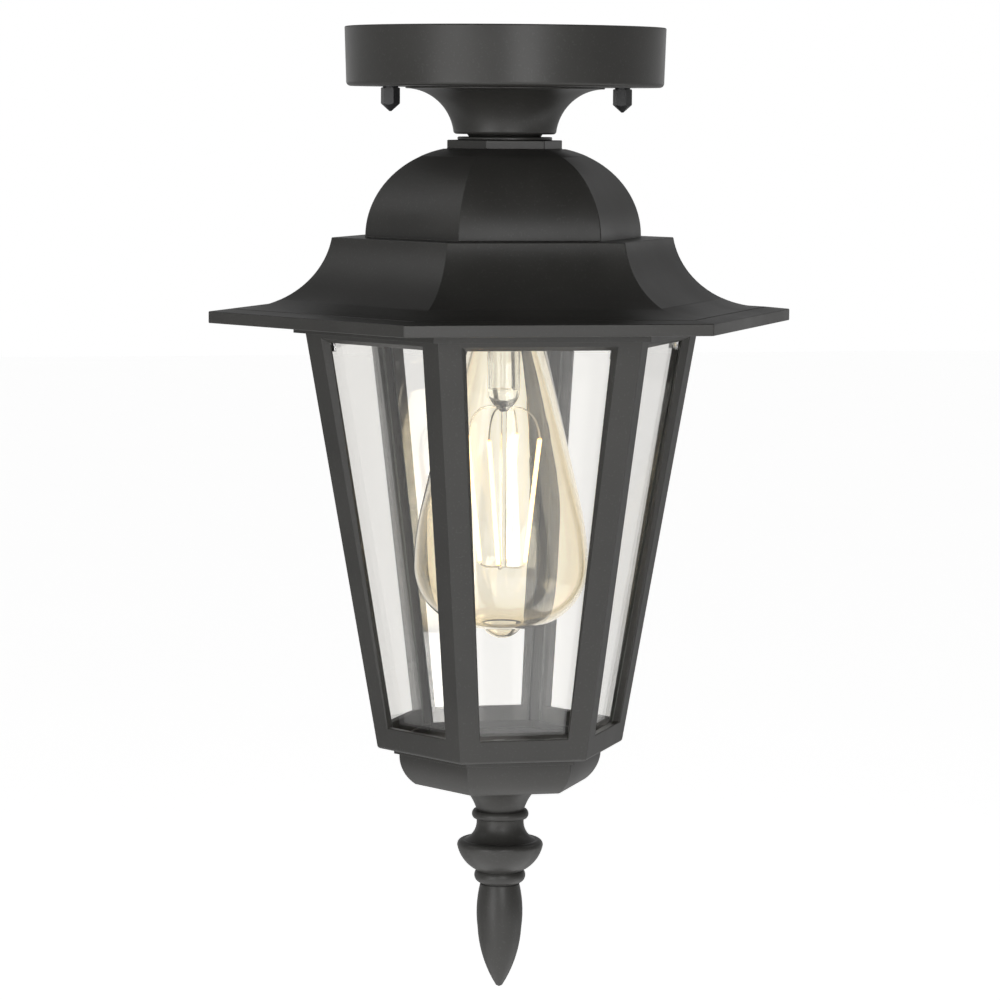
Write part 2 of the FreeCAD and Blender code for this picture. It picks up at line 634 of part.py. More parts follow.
def canopy():
    """Round cast pan that covers the ceiling box."""
    hole = "pipe_radius + pipe_hole_clearance"
    body = turned_body("canopy", [
        (hole, "-canopy_height"), ("canopy_low_radius", "-canopy_height"), ("canopy_radius", "0"),
        ("canopy_radius - canopy_wall", "0"), ("canopy_low_radius - canopy_wall", "-canopy_height + canopy_wall"),
        (hole, "-canopy_height + canopy_wall")])
    low_radius, height = value("canopy_low_radius"), value("canopy_height")
    round_edges(body, "canopy_corner_radius", lambda points: on_ring(points, low_radius, -height), "underside_corner")
    outer_radius = value("canopy_radius")
    round_edges(body, "canopy_rim_radius", lambda points: on_ring(points, outer_radius, 0), "rim_corner")
    holes = sketch_on(body, "canopy_stud_holes", "XY_Plane", "-canopy_height")
    for name, sign in LEFT_RIGHT:
        draw_circle(holes, "stud_radius + stud_hole_clearance", sign + "stud_spacing / 2 + stud_shift")
    pocket(body, holes, "canopy_wall * 2", reverse=True)
    return keep(body)


def on_ring(points, radius, height):
    """True for an edge whose ends lie on one ring about the axis."""
    return all(abs(math.hypot(point.x, point.y) - radius) < SAME and abs(point.z - height) < SAME
               for point in points)


def cap_nut(name, sign):
    """Pointed hexagon nut with a round collar that holds the canopy up on its stud."""
    body = new_body("cap_nut_" + name)
    whole = "(cap_nut_collar_height + cap_nut_height + cap_nut_point)"
    shoulder = "(cap_nut_collar_height + cap_nut_height)"
    blank = sketch_on(body, "cap_nut_outline_" + name, "XY_Plane", "-cap_nut_collar_height")
    draw_outline(blank, hexagon_corners("cap_nut_across_flats", "cap_nut_turn"))
    pad(body, blank, "cap_nut_height + cap_nut_point", reverse=True)
    corner = "(cap_nut_across_flats %s)" % ACROSS_TO_CORNER
    beyond = corner + " + cap_nut_point"
    point = sketch_on(body, "cap_nut_point_" + name, "XZ_Plane")
    draw_outline(point, [("cap_nut_tip_radius", "-" + whole), ("cap_nut_tip_radius", "-%s - cap_nut_point" % whole),
                         (beyond, "-%s - cap_nut_point" % whole), (beyond, "-" + shoulder), (corner, "-" + shoulder)])
    turn_about_axis(body, point, cut=True)
    collar = draw_circle(sketch_on(body, "cap_nut_collar_" + name, "XY_Plane"), "cap_nut_collar_radius")
    pad(body, collar, "cap_nut_collar_height", reverse=True)
    bore = draw_circle(sketch_on(body, "cap_nut_bore_" + name, "XY_Plane"), "stud_radius + thread_clearance")
    pocket(body, bore, "stud_bite + cap_nut_spare_depth")
    bind(body, **{"Placement.Base.x": sign + "stud_spacing / 2 + stud_shift"})
    return keep(place(body, CANOPY_UNDERSIDE))


# ---------------------------------------------------------------------------------------------
# Neck, threaded pipe and what is clamped on it
# ---------------------------------------------------------------------------------------------
def neck():
    """Bell-shaped neck under the canopy: a thin lip, a hollow curve and a small rounded foot."""
    hole = "pipe_radius + pipe_hole_clearance"
    curve_level = "(neck_flange_thickness + neck_curve_radius)"
    foot = "(neck_flange_radius - sqrt(neck_curve_radius^2 - (%s - neck_height + neck_foot_radius)^2))" % curve_level
    inner_curve = "(neck_curve_radius + neck_wall)"
    inner_top = "neck_flange_radius - sqrt(%s^2 - %s^2)" % (inner_curve, curve_level)
    inner_foot = "neck_flange_radius - sqrt(%s^2 - (%s - neck_height + neck_floor)^2)" % (inner_curve, curve_level)
    body = turned_body("neck", [
        (hole, "-neck_height"), (foot + " - neck_foot_radius", "-neck_height"),
        (foot, "-neck_height + neck_foot_radius", "neck_foot_radius"),
        ("neck_flange_radius", "-neck_flange_thickness", "-neck_curve_radius"), ("neck_flange_radius", "0"),
        (inner_top, "0"), (inner_foot, "-neck_height + neck_floor", inner_curve), (hole, "-neck_height + neck_floor")])
    return keep(place(body, CANOPY_UNDERSIDE))


def threaded_pipe():
    """Hollow threaded pipe that carries the neck, the roof and the lampholder."""
    length = CANOPY_FLOOR + " + pipe_rise - (" + PIPE_END + ")"
    body = ring_body("threaded_pipe", "pipe_radius", "pipe_bore_radius", length)
    return keep(place(body, CANOPY_FLOOR + " + pipe_rise"))


def pipe_nut(label, level):
    """Hexagon nut on the threaded pipe."""
    body = drilled_body(label, hexagon_corners("pipe_nut_across_flats"), "pipe_nut_height",
                        "pipe_radius + thread_clearance")
    return keep(place(body, level))


def pipe_stack():
    """Lock washer, nuts, spacer and plate threaded on the pipe."""
    hole = "pipe_radius + pipe_hole_clearance"
    washer = ring_body("lock_washer", "lock_washer_radius", hole, "lock_washer_thickness")
    keep(place(washer, CANOPY_FLOOR + " + lock_washer_thickness"))
    pipe_nut("canopy_nut", CANOPY_FLOOR + " + lock_washer_thickness + pipe_nut_height")
    pipe_nut("roof_nut", CROWN_INSIDE)
    spacer = turned_body("neck_spacer", [
        (hole, "0"), ("spacer_radius", "0"), ("spacer_foot_radius", "-spacer_height"), (hole, "-spacer_height")])
    keep(place(spacer, NECK_FOOT))
    keep(place(ring_body("crown_plate", "plate_radius", hole, "plate_thickness"), SPACER_FOOT))


# ---------------------------------------------------------------------------------------------
# Roof casting
# ---------------------------------------------------------------------------------------------
def arc_centre(start, end, radius, side):
    """Expressions for the centre of an arc through two points; side 1 is left of the chord."""
    dx = "(%s - (%s))" % (end[0], start[0])
    dz = "(%s - (%s))" % (end[1], start[1])
    chord = "sqrt(%s^2 + %s^2)" % (dx, dz)
    rise = "sqrt((%s)^2 - %s^2 / 4)" % (radius, chord)
    across = "((%s + %s) / 2 - (%d) * %s / %s * %s)" % (start[0], end[0], side, dz, chord, rise)
    up = "((%s + %s) / 2 + (%d) * %s / %s * %s)" % (start[1], end[1], side, dx, chord, rise)
    return across, up


def roof():
    """Six-sided roof: boss, dome, ledge, flared skirt, groove and eave, with a ring for the cage.

    One wall section is swept round the hexagon with mitred corners, so every facet is a true
    single-curved surface and the corner lines are where neighbouring facets meet.
    """
    body = new_body("roof")
    dome_top = "-boss_height"
    dome_foot = "(-boss_height - dome_height)"
    ledge = "(-boss_height - dome_height - dome_foot)"
    skirt_foot = "(-boss_height - dome_height - dome_foot - skirt_height)"
    groove = skirt_foot + " - groove_depth"
    eave_edge = "(-boss_height - dome_height - dome_foot - skirt_height - eave_fall)"
    underside = "(-boss_height - dome_height - dome_foot - skirt_height - eave_fall - eave_thickness)"
    skirt_start = ("ledge_across_flats / 2", ledge)
    skirt_end = ("skirt_across_flats / 2", skirt_foot)
    centre_across, centre_up = arc_centre(skirt_start, skirt_end, "skirt_curve_radius", 1)
    inner_curve = "(skirt_curve_radius + roof_wall)"

    def under_skirt(across):
        """Height of the skirt's hollow side at a distance from the axis."""
        return "%s - sqrt(%s^2 - (%s - %s)^2)" % (centre_up, inner_curve, across, centre_across)

    seat_outer = "seat_across_flats / 2"
    seat_inner = "(seat_across_flats / 2 - seat_wall)"
    eave_inner = "eave_across_flats / 2 - eave_foot_width"
    ledge_inside = ledge + " - roof_wall"
    ledge_inner = "%s - sqrt(%s^2 - (%s - %s)^2)" % (centre_across, inner_curve, ledge_inside, centre_up)
    hexagon_sweep(body, "roof", "seat_across_flats", [
        ("boss_across_flats / 2 - roof_wall", dome_top), ("dome_top_across_flats / 2", dome_top),
        ("dome_across_flats / 2", dome_foot, "-dome_curve_radius"), ("dome_across_flats / 2", ledge),
        skirt_start, skirt_end + ("skirt_curve_radius",), ("skirt_across_flats / 2", groove),
        ("skirt_across_flats / 2 + groove_width", groove), ("skirt_across_flats / 2 + groove_width", skirt_foot),
        ("eave_across_flats / 2", eave_edge), ("eave_across_flats / 2", underside), (eave_inner, underside),
        (eave_inner, under_skirt("skirt_across_flats / 2")),
        ("skirt_across_flats / 2", under_skirt("skirt_across_flats / 2")),
        (seat_outer, under_skirt(seat_outer), "-" + inner_curve), (seat_outer, underside), (seat_inner, underside),
        (seat_inner, under_skirt(seat_inner)), (ledge_inner, ledge_inside, "-" + inner_curve),
        ("dome_across_flats / 2 - roof_wall", ledge_inside), ("dome_across_flats / 2 - roof_wall", dome_foot),
        ("dome_top_across_flats / 2 - roof_wall / 6", dome_top + " - roof_wall", "dome_curve_radius - roof_wall"),
        ("boss_across_flats / 2 - roof_wall", dome_top + " - roof_wall")])
    crown = sketch_on(body, "crown_outline", "XY_Plane")
    draw_outline(crown, hexagon_corners("boss_across_flats"))
    pad(body, crown, "boss_height + roof_wall", reverse=True)
    hole = draw_circle(sketch_on(body, "crown_hole", "XY_Plane"), "pipe_radius + pipe_hole_clearance")
    pocket(body, hole, "boss_height + roof_wall")
    pillar = sketch_on(body, "pillar_outline", "XY_Plane", underside)
    draw_circle(pillar, "roof_boss_radius", "lug_reach")
    post = pad(body, pillar, "(%s - roof_wall / 2) - %s" % (ledge, underside))
    tapped = sketch_on(body, "pillar_bore", "XY_Plane", underside)
    draw_circle(tapped, "cage_screw_radius + thread_clearance", "lug_reach")
    bore = pocket(body, tapped, "cage_screw_length - flange_thickness + cap_nut_spare_depth", reverse=True)
    repeat_round(body, [post, bore], "lug_count")
    return keep(place(body, ROOF_TOP))


# ---------------------------------------------------------------------------------------------
# Cage, panes and clips
# ---------------------------------------------------------------------------------------------
def inset(level, depth):
    """Distance from the axis to a face inside the cage wall.

    The level is a height below the cage flange and the depth is square to the sloping wall.
    """
    return "(cage_top_across_flats / 2 - (%s) * %s - (%s) * %s)" % (level, CAGE_SLOPE, depth, SLANT)


def face_sketch(body, name, depth):
    """A sketch that lies in the sloping front face of the cage, sunk square to it by a depth."""
    sketch = sketch_on(body, name, "XZ_Plane")
    slope_angle = "atan(%s)" % CAGE_SLOPE
    sketch.AttachmentOffset = FreeCAD.Placement(VECTOR(), FreeCAD.Rotation(VECTOR(1, 0, 0), value(slope_angle)))
    bind(sketch, **{
        "AttachmentOffset.Base.y": "-flange_thickness + (%s) * sin(%s)" % (depth, slope_angle),
        "AttachmentOffset.Base.z": "cage_top_across_flats / 2 - (%s) * cos(%s)" % (depth, slope_angle),
        "AttachmentOffset.Rotation.Angle": slope_angle})
    return sketch


def window_corners(margin):
    """Corners of the tapered window, grown by a margin on every side."""
    top = "(-window_top_margin + %s)" % margin
    foot = "(window_foot_margin - cage_height * %s - %s)" % (SLANT, margin)
    half_top = "(window_top_width / 2 + %s)" % margin
    half_foot = "(window_foot_width / 2 + %s)" % margin
    return [("-" + half_foot, foot), (half_foot, foot), (half_top, top), ("-" + half_top, top)]


def hexagon_at(body, name, level, across_flats, turn=0):
    """A hexagon sketch at a height of its body."""
    return draw_outline(sketch_on(body, name, "XY_Plane", level), hexagon_corners(across_flats, turn))


def cage():
    """Tapered six-sided cage with a thin top flange, bevelled windows, ribs and a stepped floor."""
    body = new_body("cage")
    foot = "(-flange_thickness - cage_height)"
    floor = "(-flange_thickness - cage_height + floor_raise)"
    pad(body, hexagon_at(body, "flange_outline", "0", "flange_across_flats"), "flange_thickness", reverse=True)
    loft(body, [hexagon_at(body, "cage_top_outline", "-flange_thickness", "cage_top_across_flats"),
                hexagon_at(body, "cage_foot_outline", foot, "cage_foot_across_flats")])
    mouth = "2 * " + inset("-flange_thickness", "cage_wall")
    floor_across = "2 * " + inset("cage_height - floor_raise", "cage_wall")
    loft(body, [hexagon_at(body, "cavity_mouth", "0", mouth), hexagon_at(body, "cavity_floor", floor, floor_across)],
         cut=True)
    cage_ribs(body, floor)
    cage_windows(body)
    pad(body, hexagon_at(body, "floor_step_outline", foot, "step_across_flats"), "floor_step", reverse=True)
    sill = sketch_on(body, "sill_outline", "XY_Plane", floor)
    draw_outline(sill, hexagon_corners("2 * " + SILL_FACE))
    draw_outline(sill, hexagon_corners("2 * (%s - sill_wall)" % SILL_FACE))
    pad(body, sill, "sill_height")
    pocket(body, hexagon_at(body, "floor_rebate", floor, "floor_plate_across_flats + 2 * floor_plate_fit"),
           "floor_plate_thickness")
    pocket(body, hexagon_at(body, "floor_opening", floor, "floor_opening_across_flats"), "floor_raise + floor_step")
    cage_lugs(body)
    foot_height = value(foot)
    foot_reach = value("cage_foot_across_flats / 2")
    round_edges(body, "cage_foot_radius", lambda points: on_foot(points, foot_height, foot_reach), "foot_corner")
    return keep(place(body, EAVE_UNDERSIDE))


SILL_FACE = "(%s - glass_gap)" % inset("cage_height - floor_raise", "cage_wall + glass_gap + glass_thickness")


def on_foot(points, height, reach):
    """True for a level edge of the cage foot."""
    level = all(abs(point.z - height) < SAME for point in points)
    return level and len(points) == 2 and min(math.hypot(point.x, point.y) for point in points) > reach


def cage_ribs(body, floor):
    """A rib behind each post that parts two neighbouring panes and takes a clip screw."""
    sections = []
    for name, level, drop in (("rib_top", "-flange_thickness", "0"),
                              ("rib_foot", floor + " - floor_raise / 2", "cage_height - floor_raise / 2")):
        corner = "%s / cos(30)" % inset(drop, "cage_wall")
        outline = box_corners("(rib_depth + cage_wall / 2)", "rib_width", corner + " - rib_depth / 2 + cage_wall / 4")
        sections.append(draw_outline(sketch_on(body, name, "XY_Plane", level), outline))
    rib = loft(body, sections)
    screw_level = "-flange_thickness - " + CLIP_MIDDLE
    hole = sketch_on(body, "rib_hole", "YZ_Plane", "%s / cos(30) - rib_depth - cage_wall" % inset(CLIP_MIDDLE, "cage_wall"))
    draw_circle(hole, "clip_screw_radius + thread_clearance", "0", screw_level)
    bore = pocket(body, hole, "rib_depth + cage_wall", reverse=True)
    repeat_round(body, [rib, bore], str(SIDES))


CLIP_TOP = "(glass_top_clearance + clip_thickness)"
CLIP_MIDDLE = "(glass_top_clearance + clip_thickness + clip_height / 2)"


def cage_windows(body):
    """Six tapered openings, each with a bevel that falls inwards from the face."""
    outside = "cage_wall / 4"
    bevel_outer = face_sketch(body, "bevel_outer", "-" + outside)
    draw_outline(bevel_outer, window_corners("(bevel_width * (1 + %s / bevel_depth))" % outside))
    bevel_inner = face_sketch(body, "bevel_inner", "bevel_depth")
    draw_outline(bevel_inner, window_corners("0"))
    bevel = loft(body, [bevel_outer, bevel_inner], cut=True)
    opening = face_sketch(body, "opening", "bevel_depth")
    draw_outline(opening, window_corners("0"))
    through = pocket(body, opening, "cage_wall")
    repeat_round(body, [bevel, through], str(SIDES))


def cage_lugs(body):
    """Three drilled lugs at alternate corners for the screws that hold the cage to the roof."""
    tongue = sketch_on(body, "lug_tongue", "XY_Plane")
    inner, outer = "lug_reach", "(cage_top_across_flats / 2 / cos(30))"
    draw_outline(tongue, box_corners("(%s - %s)" % (outer, inner), "lug_width", "(%s + %s) / 2" % (outer, inner)))
    straight = pad(body, tongue, "flange_thickness", reverse=True)
    nose = draw_circle(sketch_on(body, "lug_nose", "XY_Plane"), "lug_width / 2", "lug_reach")
    rounded = pad(body, nose, "flange_thickness", reverse=True)
    hole = sketch_on(body, "lug_hole", "XY_Plane")
    draw_circle(hole, "cage_screw_radius + cage_screw_clearance", "lug_reach")
    drilled = pocket(body, hole, "flange_thickness")
    repeat_round(body, [straight, rounded, drilled], "lug_count")


def glass_pane(number):
    """One tapered pane of clear glass, standing behind its window on the lantern floor."""
    body = new_body("glass_pane_%d" % number)
    outline = sketch_on(body, "pane_outline_%d" % number, "XZ_Plane")
    back = "cage_wall + glass_gap + glass_thickness"
    rib_room = "((rib_width / 2 + glass_side_clearance) / cos(30))"
    top, drop = "glass_top_clearance", "(cage_height - floor_raise - glass_foot_clearance)"
    half_top = "(%s * tan(30) - %s)" % (inset(top, back), rib_room)
    half_foot = "(%s * tan(30) - %s)" % (inset(drop, back), rib_room)
    low = "-(%s + (cage_wall + glass_gap) * %s / %s) * %s" % (drop, CAGE_SLOPE, SLANT, SLANT)
    high = "-(%s + (%s) * %s / %s) * %s" % (top, back, CAGE_SLOPE, SLANT, SLANT)
    draw_outline(outline, [("-" + half_foot, low), (half_foot, low), (half_top, high), ("-" + half_top, high)])
    pad(body, outline, "glass_thickness", reverse=True)
    slope_angle = value("atan(%s)" % CAGE_SLOPE)
    turn = FreeCAD.Placement(VECTOR(), FreeCAD.Rotation(VECTOR(0, 0, 1), DOWN_ONE_FACE * (number - 1)))
    reach = VECTOR(0, -value("cage_top_across_flats / 2"), value(CAGE_TOP))
    lean_in = FreeCAD.Placement(reach, FreeCAD.Rotation(VECTOR(1, 0, 0), slope_angle))
    sink = FreeCAD.Placement(VECTOR(0, value("cage_wall + glass_gap"), 0), FreeCAD.Rotation())
    body.Placement = turn * lean_in * sink
    return keep(body)


def pane_clips():
    """Six bent spring clips, each pressing the edges of two panes against the posts."""
    band = new_body("clip_band")
    front, back = "cage_wall + glass_gap * 1.5 + glass_thickness", "clip_thickness"
    low = "(%s + clip_height)" % CLIP_TOP
    for name, depth, cut in (("outer", front, False), ("inner", front + " + " + back, True)):
        ends = []
        for place_name, drop in (("top", CLIP_TOP), ("foot", low)):
            across = "2 * " + inset(drop, depth)
            ends.append(hexagon_at(band, "clip_%s_%s" % (name, place_name), "-(%s)" % drop, across))
        loft(band, ends, cut=cut)
    place(band, CAGE_TOP)
    bars, drills = [], []
    for number in range(SIDES // 2):
        turn = FreeCAD.Rotation(VECTOR(0, 0, 1), DOWN_ONE_FACE * number)
        bar = DOC.addObject("Part::Box", "clip_bar_%d" % number)
        bind(bar, Length="flange_across_flats", Width="clip_span", Height="cage_height")
        corner = turn.multVec(VECTOR(-value("flange_across_flats / 2"), -value("clip_span / 2"), 0))
        bar.Placement = FreeCAD.Placement(corner + VECTOR(0, 0, value(CAGE_FOOT)), turn)
        bars.append(bar)
        drill = DOC.addObject("Part::Cylinder", "clip_drill_%d" % number)
        bind(drill, Radius="clip_screw_radius + cage_screw_clearance", Height="flange_across_flats")
        lying = turn.multiply(FreeCAD.Rotation(VECTOR(0, 1, 0), 90))
        middle = VECTOR(0, 0, value(CAGE_TOP + " - " + CLIP_MIDDLE))
        start = turn.multVec(VECTOR(-value("flange_across_flats / 2"), 0, 0))
        drill.Placement = FreeCAD.Placement(middle + start, lying)
        drills.append(drill)
    star = DOC.addObject("Part::MultiFuse", "clip_star")
    star.Shapes = bars
    bent = DOC.addObject("Part::Common", "clip_blanks")
    bent.Base, bent.Tool = band, star
    drilled = DOC.addObject("Part::Cut", "pane_clips")
    holes = DOC.addObject("Part::MultiFuse", "clip_holes")
    holes.Shapes = drills
    drilled.Base, drilled.Tool = bent, holes
    return keep(drilled)


def clip_screws():
    """Six small screws that hold the clips to the ribs."""
    screw = turned_body("clip_screw", [
        ("0", "-clip_screw_head_height"), ("clip_screw_head_radius * screw_head_taper", "-clip_screw_head_height"),
        ("clip_screw_head_radius", "-clip_screw_head_height / 2"), ("clip_screw_head_radius", "0"),
        ("clip_screw_radius", "0"), ("clip_screw_radius", "clip_screw_bite + clip_screw_head_radius"),
        ("0", "clip_screw_bite + clip_screw_head_radius")])
    depth = "cage_wall + glass_gap * 1.5 + glass_thickness + clip_thickness"
    seat = "%s / cos(30) - clip_screw_head_radius * tan(30) - thread_clearance" % inset(
        CLIP_MIDDLE + " + clip_screw_head_radius", depth)
    placed = []
    for number in range(SIDES):
        link = DOC.addObject("App::Link", "clip_screw_%d" % number)
        link.LinkedObject = screw
        turn = FreeCAD.Rotation(VECTOR(0, 0, 1), DOWN_ONE_FACE * number)
        lying = turn.multiply(FreeCAD.Rotation(VECTOR(0, 1, 0), 90))
        spot = turn.multVec(VECTOR(value(seat), 0, 0)) + VECTOR(0, 0, value(CAGE_TOP + " - " + CLIP_MIDDLE))
        link.Placement = FreeCAD.Placement(spot, lying)
        placed.append(link)
    keep(copies("clip_screws", placed))


def cage_screws():
    """Screws that pass up through the cage lugs into the roof pillars."""
    screw = turned_body("cage_screw", [
        ("0", "-cage_screw_head_height"), ("cage_screw_head_radius * screw_head_taper", "-cage_screw_head_height"),
        ("cage_screw_head_radius", "-cage_screw_head_height / 2"), ("cage_screw_head_radius", "0"),
        ("cage_screw_radius", "0"), ("cage_screw_radius", "cage_screw_length"), ("0", "cage_screw_length")])
    placed = []
    for number in range(int(value("lug_count"))):
        angle = "(%d * 360 / lug_count)" % number
        placed.append(copy_at(screw, "cage_screw_%d" % number, "lug_reach * cos(%s)" % angle,
                              "lug_reach * sin(%s)" % angle, CAGE_TOP))
    keep(copies("cage_screws", placed))


# ---------------------------------------------------------------------------------------------
# Bottom cup and finial
# ---------------------------------------------------------------------------------------------
def bottom_cup():
    """Six-sided cup with quarter-round sides under the lantern floor."""
    body = new_body("bottom_cup")
    hexagon_sweep(body, "cup", "cup_foot_across_flats", [
        ("cup_across_flats / 2", "0"), ("cup_across_flats / 2 - cup_wall", "0"),
        ("cup_across_flats / 2 - cup_wall", "-cup_straight"),
        ("cup_foot_across_flats / 2 - cup_wall / 3", "-cup_height + cup_wall", "-(cup_curve_radius - cup_wall)"),
        ("cup_foot_across_flats / 2 - cup_wall * 2", "-cup_height + cup_wall"),
        ("cup_foot_across_flats / 2 - cup_wall * 2", "-cup_height"), ("cup_foot_across_flats / 2", "-cup_height"),
        ("cup_across_flats / 2", "-cup_straight", "cup_curve_radius")])
    base = hexagon_at(body, "cup_base_outline", "-cup_height", "cup_foot_across_flats - cup_wall * 2")
    pad(body, base, "cup_wall")
    hole = sketch_on(body, "cup_hole", "XY_Plane", "-cup_height")
    pocket(body, draw_circle(hole, "pipe_radius + pipe_hole_clearance"), "cup_wall", reverse=True)
    return keep(place(body, CUP_TOP))


def floor_plate():
    """Loose floor plate in the foot of the cage, with its short hollow pipe and lock nut.

    The plate is let into the floor of the cage from above, and its pipe takes the finial.
    """
    plate = drilled_body("floor_plate", hexagon_corners("floor_plate_across_flats"), "floor_plate_thickness",
                         "pipe_radius + thread_clearance")
    keep(place(plate, FLOOR_TOP))
    length = FLOOR_TOP + " + low_pipe_rise - (" + CUP_FOOT + ") + low_pipe_bite"
    keep(place(ring_body("finial_pipe", "pipe_radius", "pipe_bore_radius", length), FLOOR_TOP + " + low_pipe_rise"))
    pipe_nut("floor_nut", FLOOR_TOP + " - floor_plate_thickness")


def finial():
    """Turned finial: disc, flare, ring, waist, cove, bowl, bead, groove and spear."""
    bore = "pipe_radius + thread_clearance"
    depth = "-(low_pipe_bite + cap_nut_spare_depth)"
    heights = ["finial_top_height", "finial_flare_height", "finial_ring_height", "finial_waist_height",
               "finial_cove_height", "finial_rim_height", "finial_bowl_height", "finial_bead_height",
               "finial_groove_height", "finial_spear_height"]
    level = ["-(%s)" % " + ".join(heights[:count + 1]) for count in range(len(heights))]
    body = turned_body("finial", [
        ("0", depth), (bore, depth), (bore, "0"), ("finial_top_radius", "0"), ("finial_top_radius", level[0]),
        ("finial_neck_radius", level[1], "finial_flare_curve"), ("finial_ring_radius", level[1]),
        ("finial_ring_radius", level[2], "-finial_ring_curve"), ("finial_waist_radius", level[2]),
        ("finial_waist_radius", level[3]), ("finial_cove_radius", level[4], "finial_cove_curve"),
        ("finial_bowl_radius", level[5], "-finial_rim_height"),
        ("finial_stem_radius", level[6], "-finial_bowl_curve"),
        ("finial_bead_radius", level[7], "-finial_bead_curve"), ("finial_groove_radius", level[7]),
        ("finial_groove_radius", level[8]), ("finial_spear_neck_radius", level[8]),
        ("finial_spear_radius", level[9], "-finial_spear_long_curve"),
        ("finial_tip_radius", "-finial_height + finial_tip_radius / 2", "-finial_spear_curve"),
        ("0", "-finial_height")])
    return keep(place(body, CUP_FOOT))


# ---------------------------------------------------------------------------------------------
# Lampholder
# ---------------------------------------------------------------------------------------------
HOLDER_TOP = CROWN_INSIDE + " - pipe_nut_height"
HOLDER_JOINT = HOLDER_TOP + " - holder_hub_height - holder_cap_height"
CAP_FOOT = LAMP_TOP + " - lamp_contact_height - lamp_insulator_height - lamp_cap_height"
HOLDER_MOUTH = CAP_FOOT + " - holder_mouth_drop"


def holder_cap():
    """Domed cap that screws on the threaded pipe and carries the lampholder."""
    bore = "pipe_radius + thread_clearance"
    dome = "-(holder_hub_height + holder_cap_height)"
    body = turned_body("holder_cap", [
        (bore, "0"), ("holder_hub_radius", "0"), ("holder_hub_radius", "-holder_hub_height"),
        ("holder_radius", dome + " + holder_cap_height / 3", "-holder_radius"), ("holder_radius", dome),
        ("holder_radius - holder_wall", dome), ("holder_radius - holder_wall", dome + " + holder_cap_height / 3"),
        (bore + " + holder_wall / 2", "-holder_hub_height - holder_wall", "holder_radius - holder_wall"),
        (bore, "-holder_hub_height - holder_wall")])
    return keep(place(body, HOLDER_TOP))


def holder_shell():
    """Cylindrical outer shell of the lampholder, with an inner step that carries the base."""
    inner = "(holder_radius - holder_wall)"
    joint = "(%s)" % HOLDER_JOINT
    step_top = "%s - %s" % (BASE_UNDERSIDE, joint)
    step_foot = "%s - %s - holder_wall" % (BASE_UNDERSIDE, joint)
    step = inner + " - holder_wall / 2"
    mouth = "%s - %s" % (HOLDER_MOUTH, joint)
    body = turned_body("holder_shell", [
        ("holder_radius", "0"), (inner, "0"), (inner, step_top), (step, step_top), (step, step_foot),
        (inner, step_foot), (inner, mouth), ("holder_radius", mouth)])
    return keep(place(body, HOLDER_JOINT))


def holder_base():
    """Ceramic base in the shell with two holes for the leads."""
    body = turned_body("holder_base", [
        ("0", "0"), ("holder_radius - holder_wall - holder_fit", "0"),
        ("holder_radius - holder_wall - holder_fit", "-holder_base_thickness"), ("0", "-holder_base_thickness")])
    return keep(place(body, BASE_TOP))


def screw_shell():
    """Brass screw shell under the ceramic base."""
    inner = "(lamp_cap_radius + lamp_fit)"
    depth = "-(contact_drop + lamp_contact_height + lamp_insulator_height + shell_grip)"
    body = turned_body("screw_shell", [
        ("shell_eye_radius", "0"), (inner + " + shell_wall", "0"),
        (inner + " + shell_wall", depth), (inner, depth), (inner, "-shell_wall"),
        ("shell_eye_radius", "-shell_wall")])
    return keep(place(body, BASE_UNDERSIDE))


def centre_contact():
    """Springy strip that reaches down from the base to the lamp's centre contact."""
    body = new_body("centre_contact")
    side = sketch_on(body, "contact_side", "XZ_Plane")
    far, near, bottom = "-lamp_insulator_radius", "-lamp_insulator_radius / 2", "-contact_drop"
    draw_outline(side, [
        (far, "0"), (far, "-contact_thickness"), (near + " - contact_thickness", "-contact_thickness"),
        ("0", bottom), ("lamp_contact_radius * lamp_contact_taper", bottom), ("lamp_contact_radius * lamp_contact_taper", bottom + " + contact_thickness"),
        ("contact_thickness", bottom + " + contact_thickness"), (near, "0")])
    strip = pad(body, side, "contact_width")
    strip.Midplane = True
    return keep(place(body, BASE_UNDERSIDE))


# ---------------------------------------------------------------------------------------------
# Lamp
# ---------------------------------------------------------------------------------------------
CAP_DROP = "(lamp_contact_height + lamp_insulator_height + lamp_cap_height)"
CAP_START = "(lamp_contact_height + lamp_insulator_height)"


def lamp_cap():
    """Screw cap, glass insulator and centre contact of the lamp."""
    wall = "(lamp_cap_radius - lamp_cap_wall)"
    keep(place(turned_body("lamp_screw_cap", [
        ("lamp_insulator_radius", "-" + CAP_START), ("lamp_cap_radius", "-%s - lamp_cap_shoulder" % CAP_START),
        ("lamp_cap_radius", "-" + CAP_DROP), (wall, "-" + CAP_DROP),
        (wall, "-%s - lamp_cap_shoulder - lamp_cap_wall" % CAP_START),
        ("lamp_insulator_radius", "-%s - lamp_cap_wall" % CAP_START)]), LAMP_TOP))
    keep(place(turned_body("lamp_insulator", [
        ("0", "-lamp_contact_height"), ("lamp_contact_radius", "-lamp_contact_height"),
        ("lamp_insulator_radius", "-" + CAP_START), ("0", "-" + CAP_START)]), LAMP_TOP))
    keep(place(turned_body("lamp_contact", [
        ("0", "0"), ("lamp_contact_radius * lamp_contact_taper", "0"), ("lamp_contact_radius", "-lamp_contact_height"),
        ("0", "-lamp_contact_height")]), LAMP_TOP))


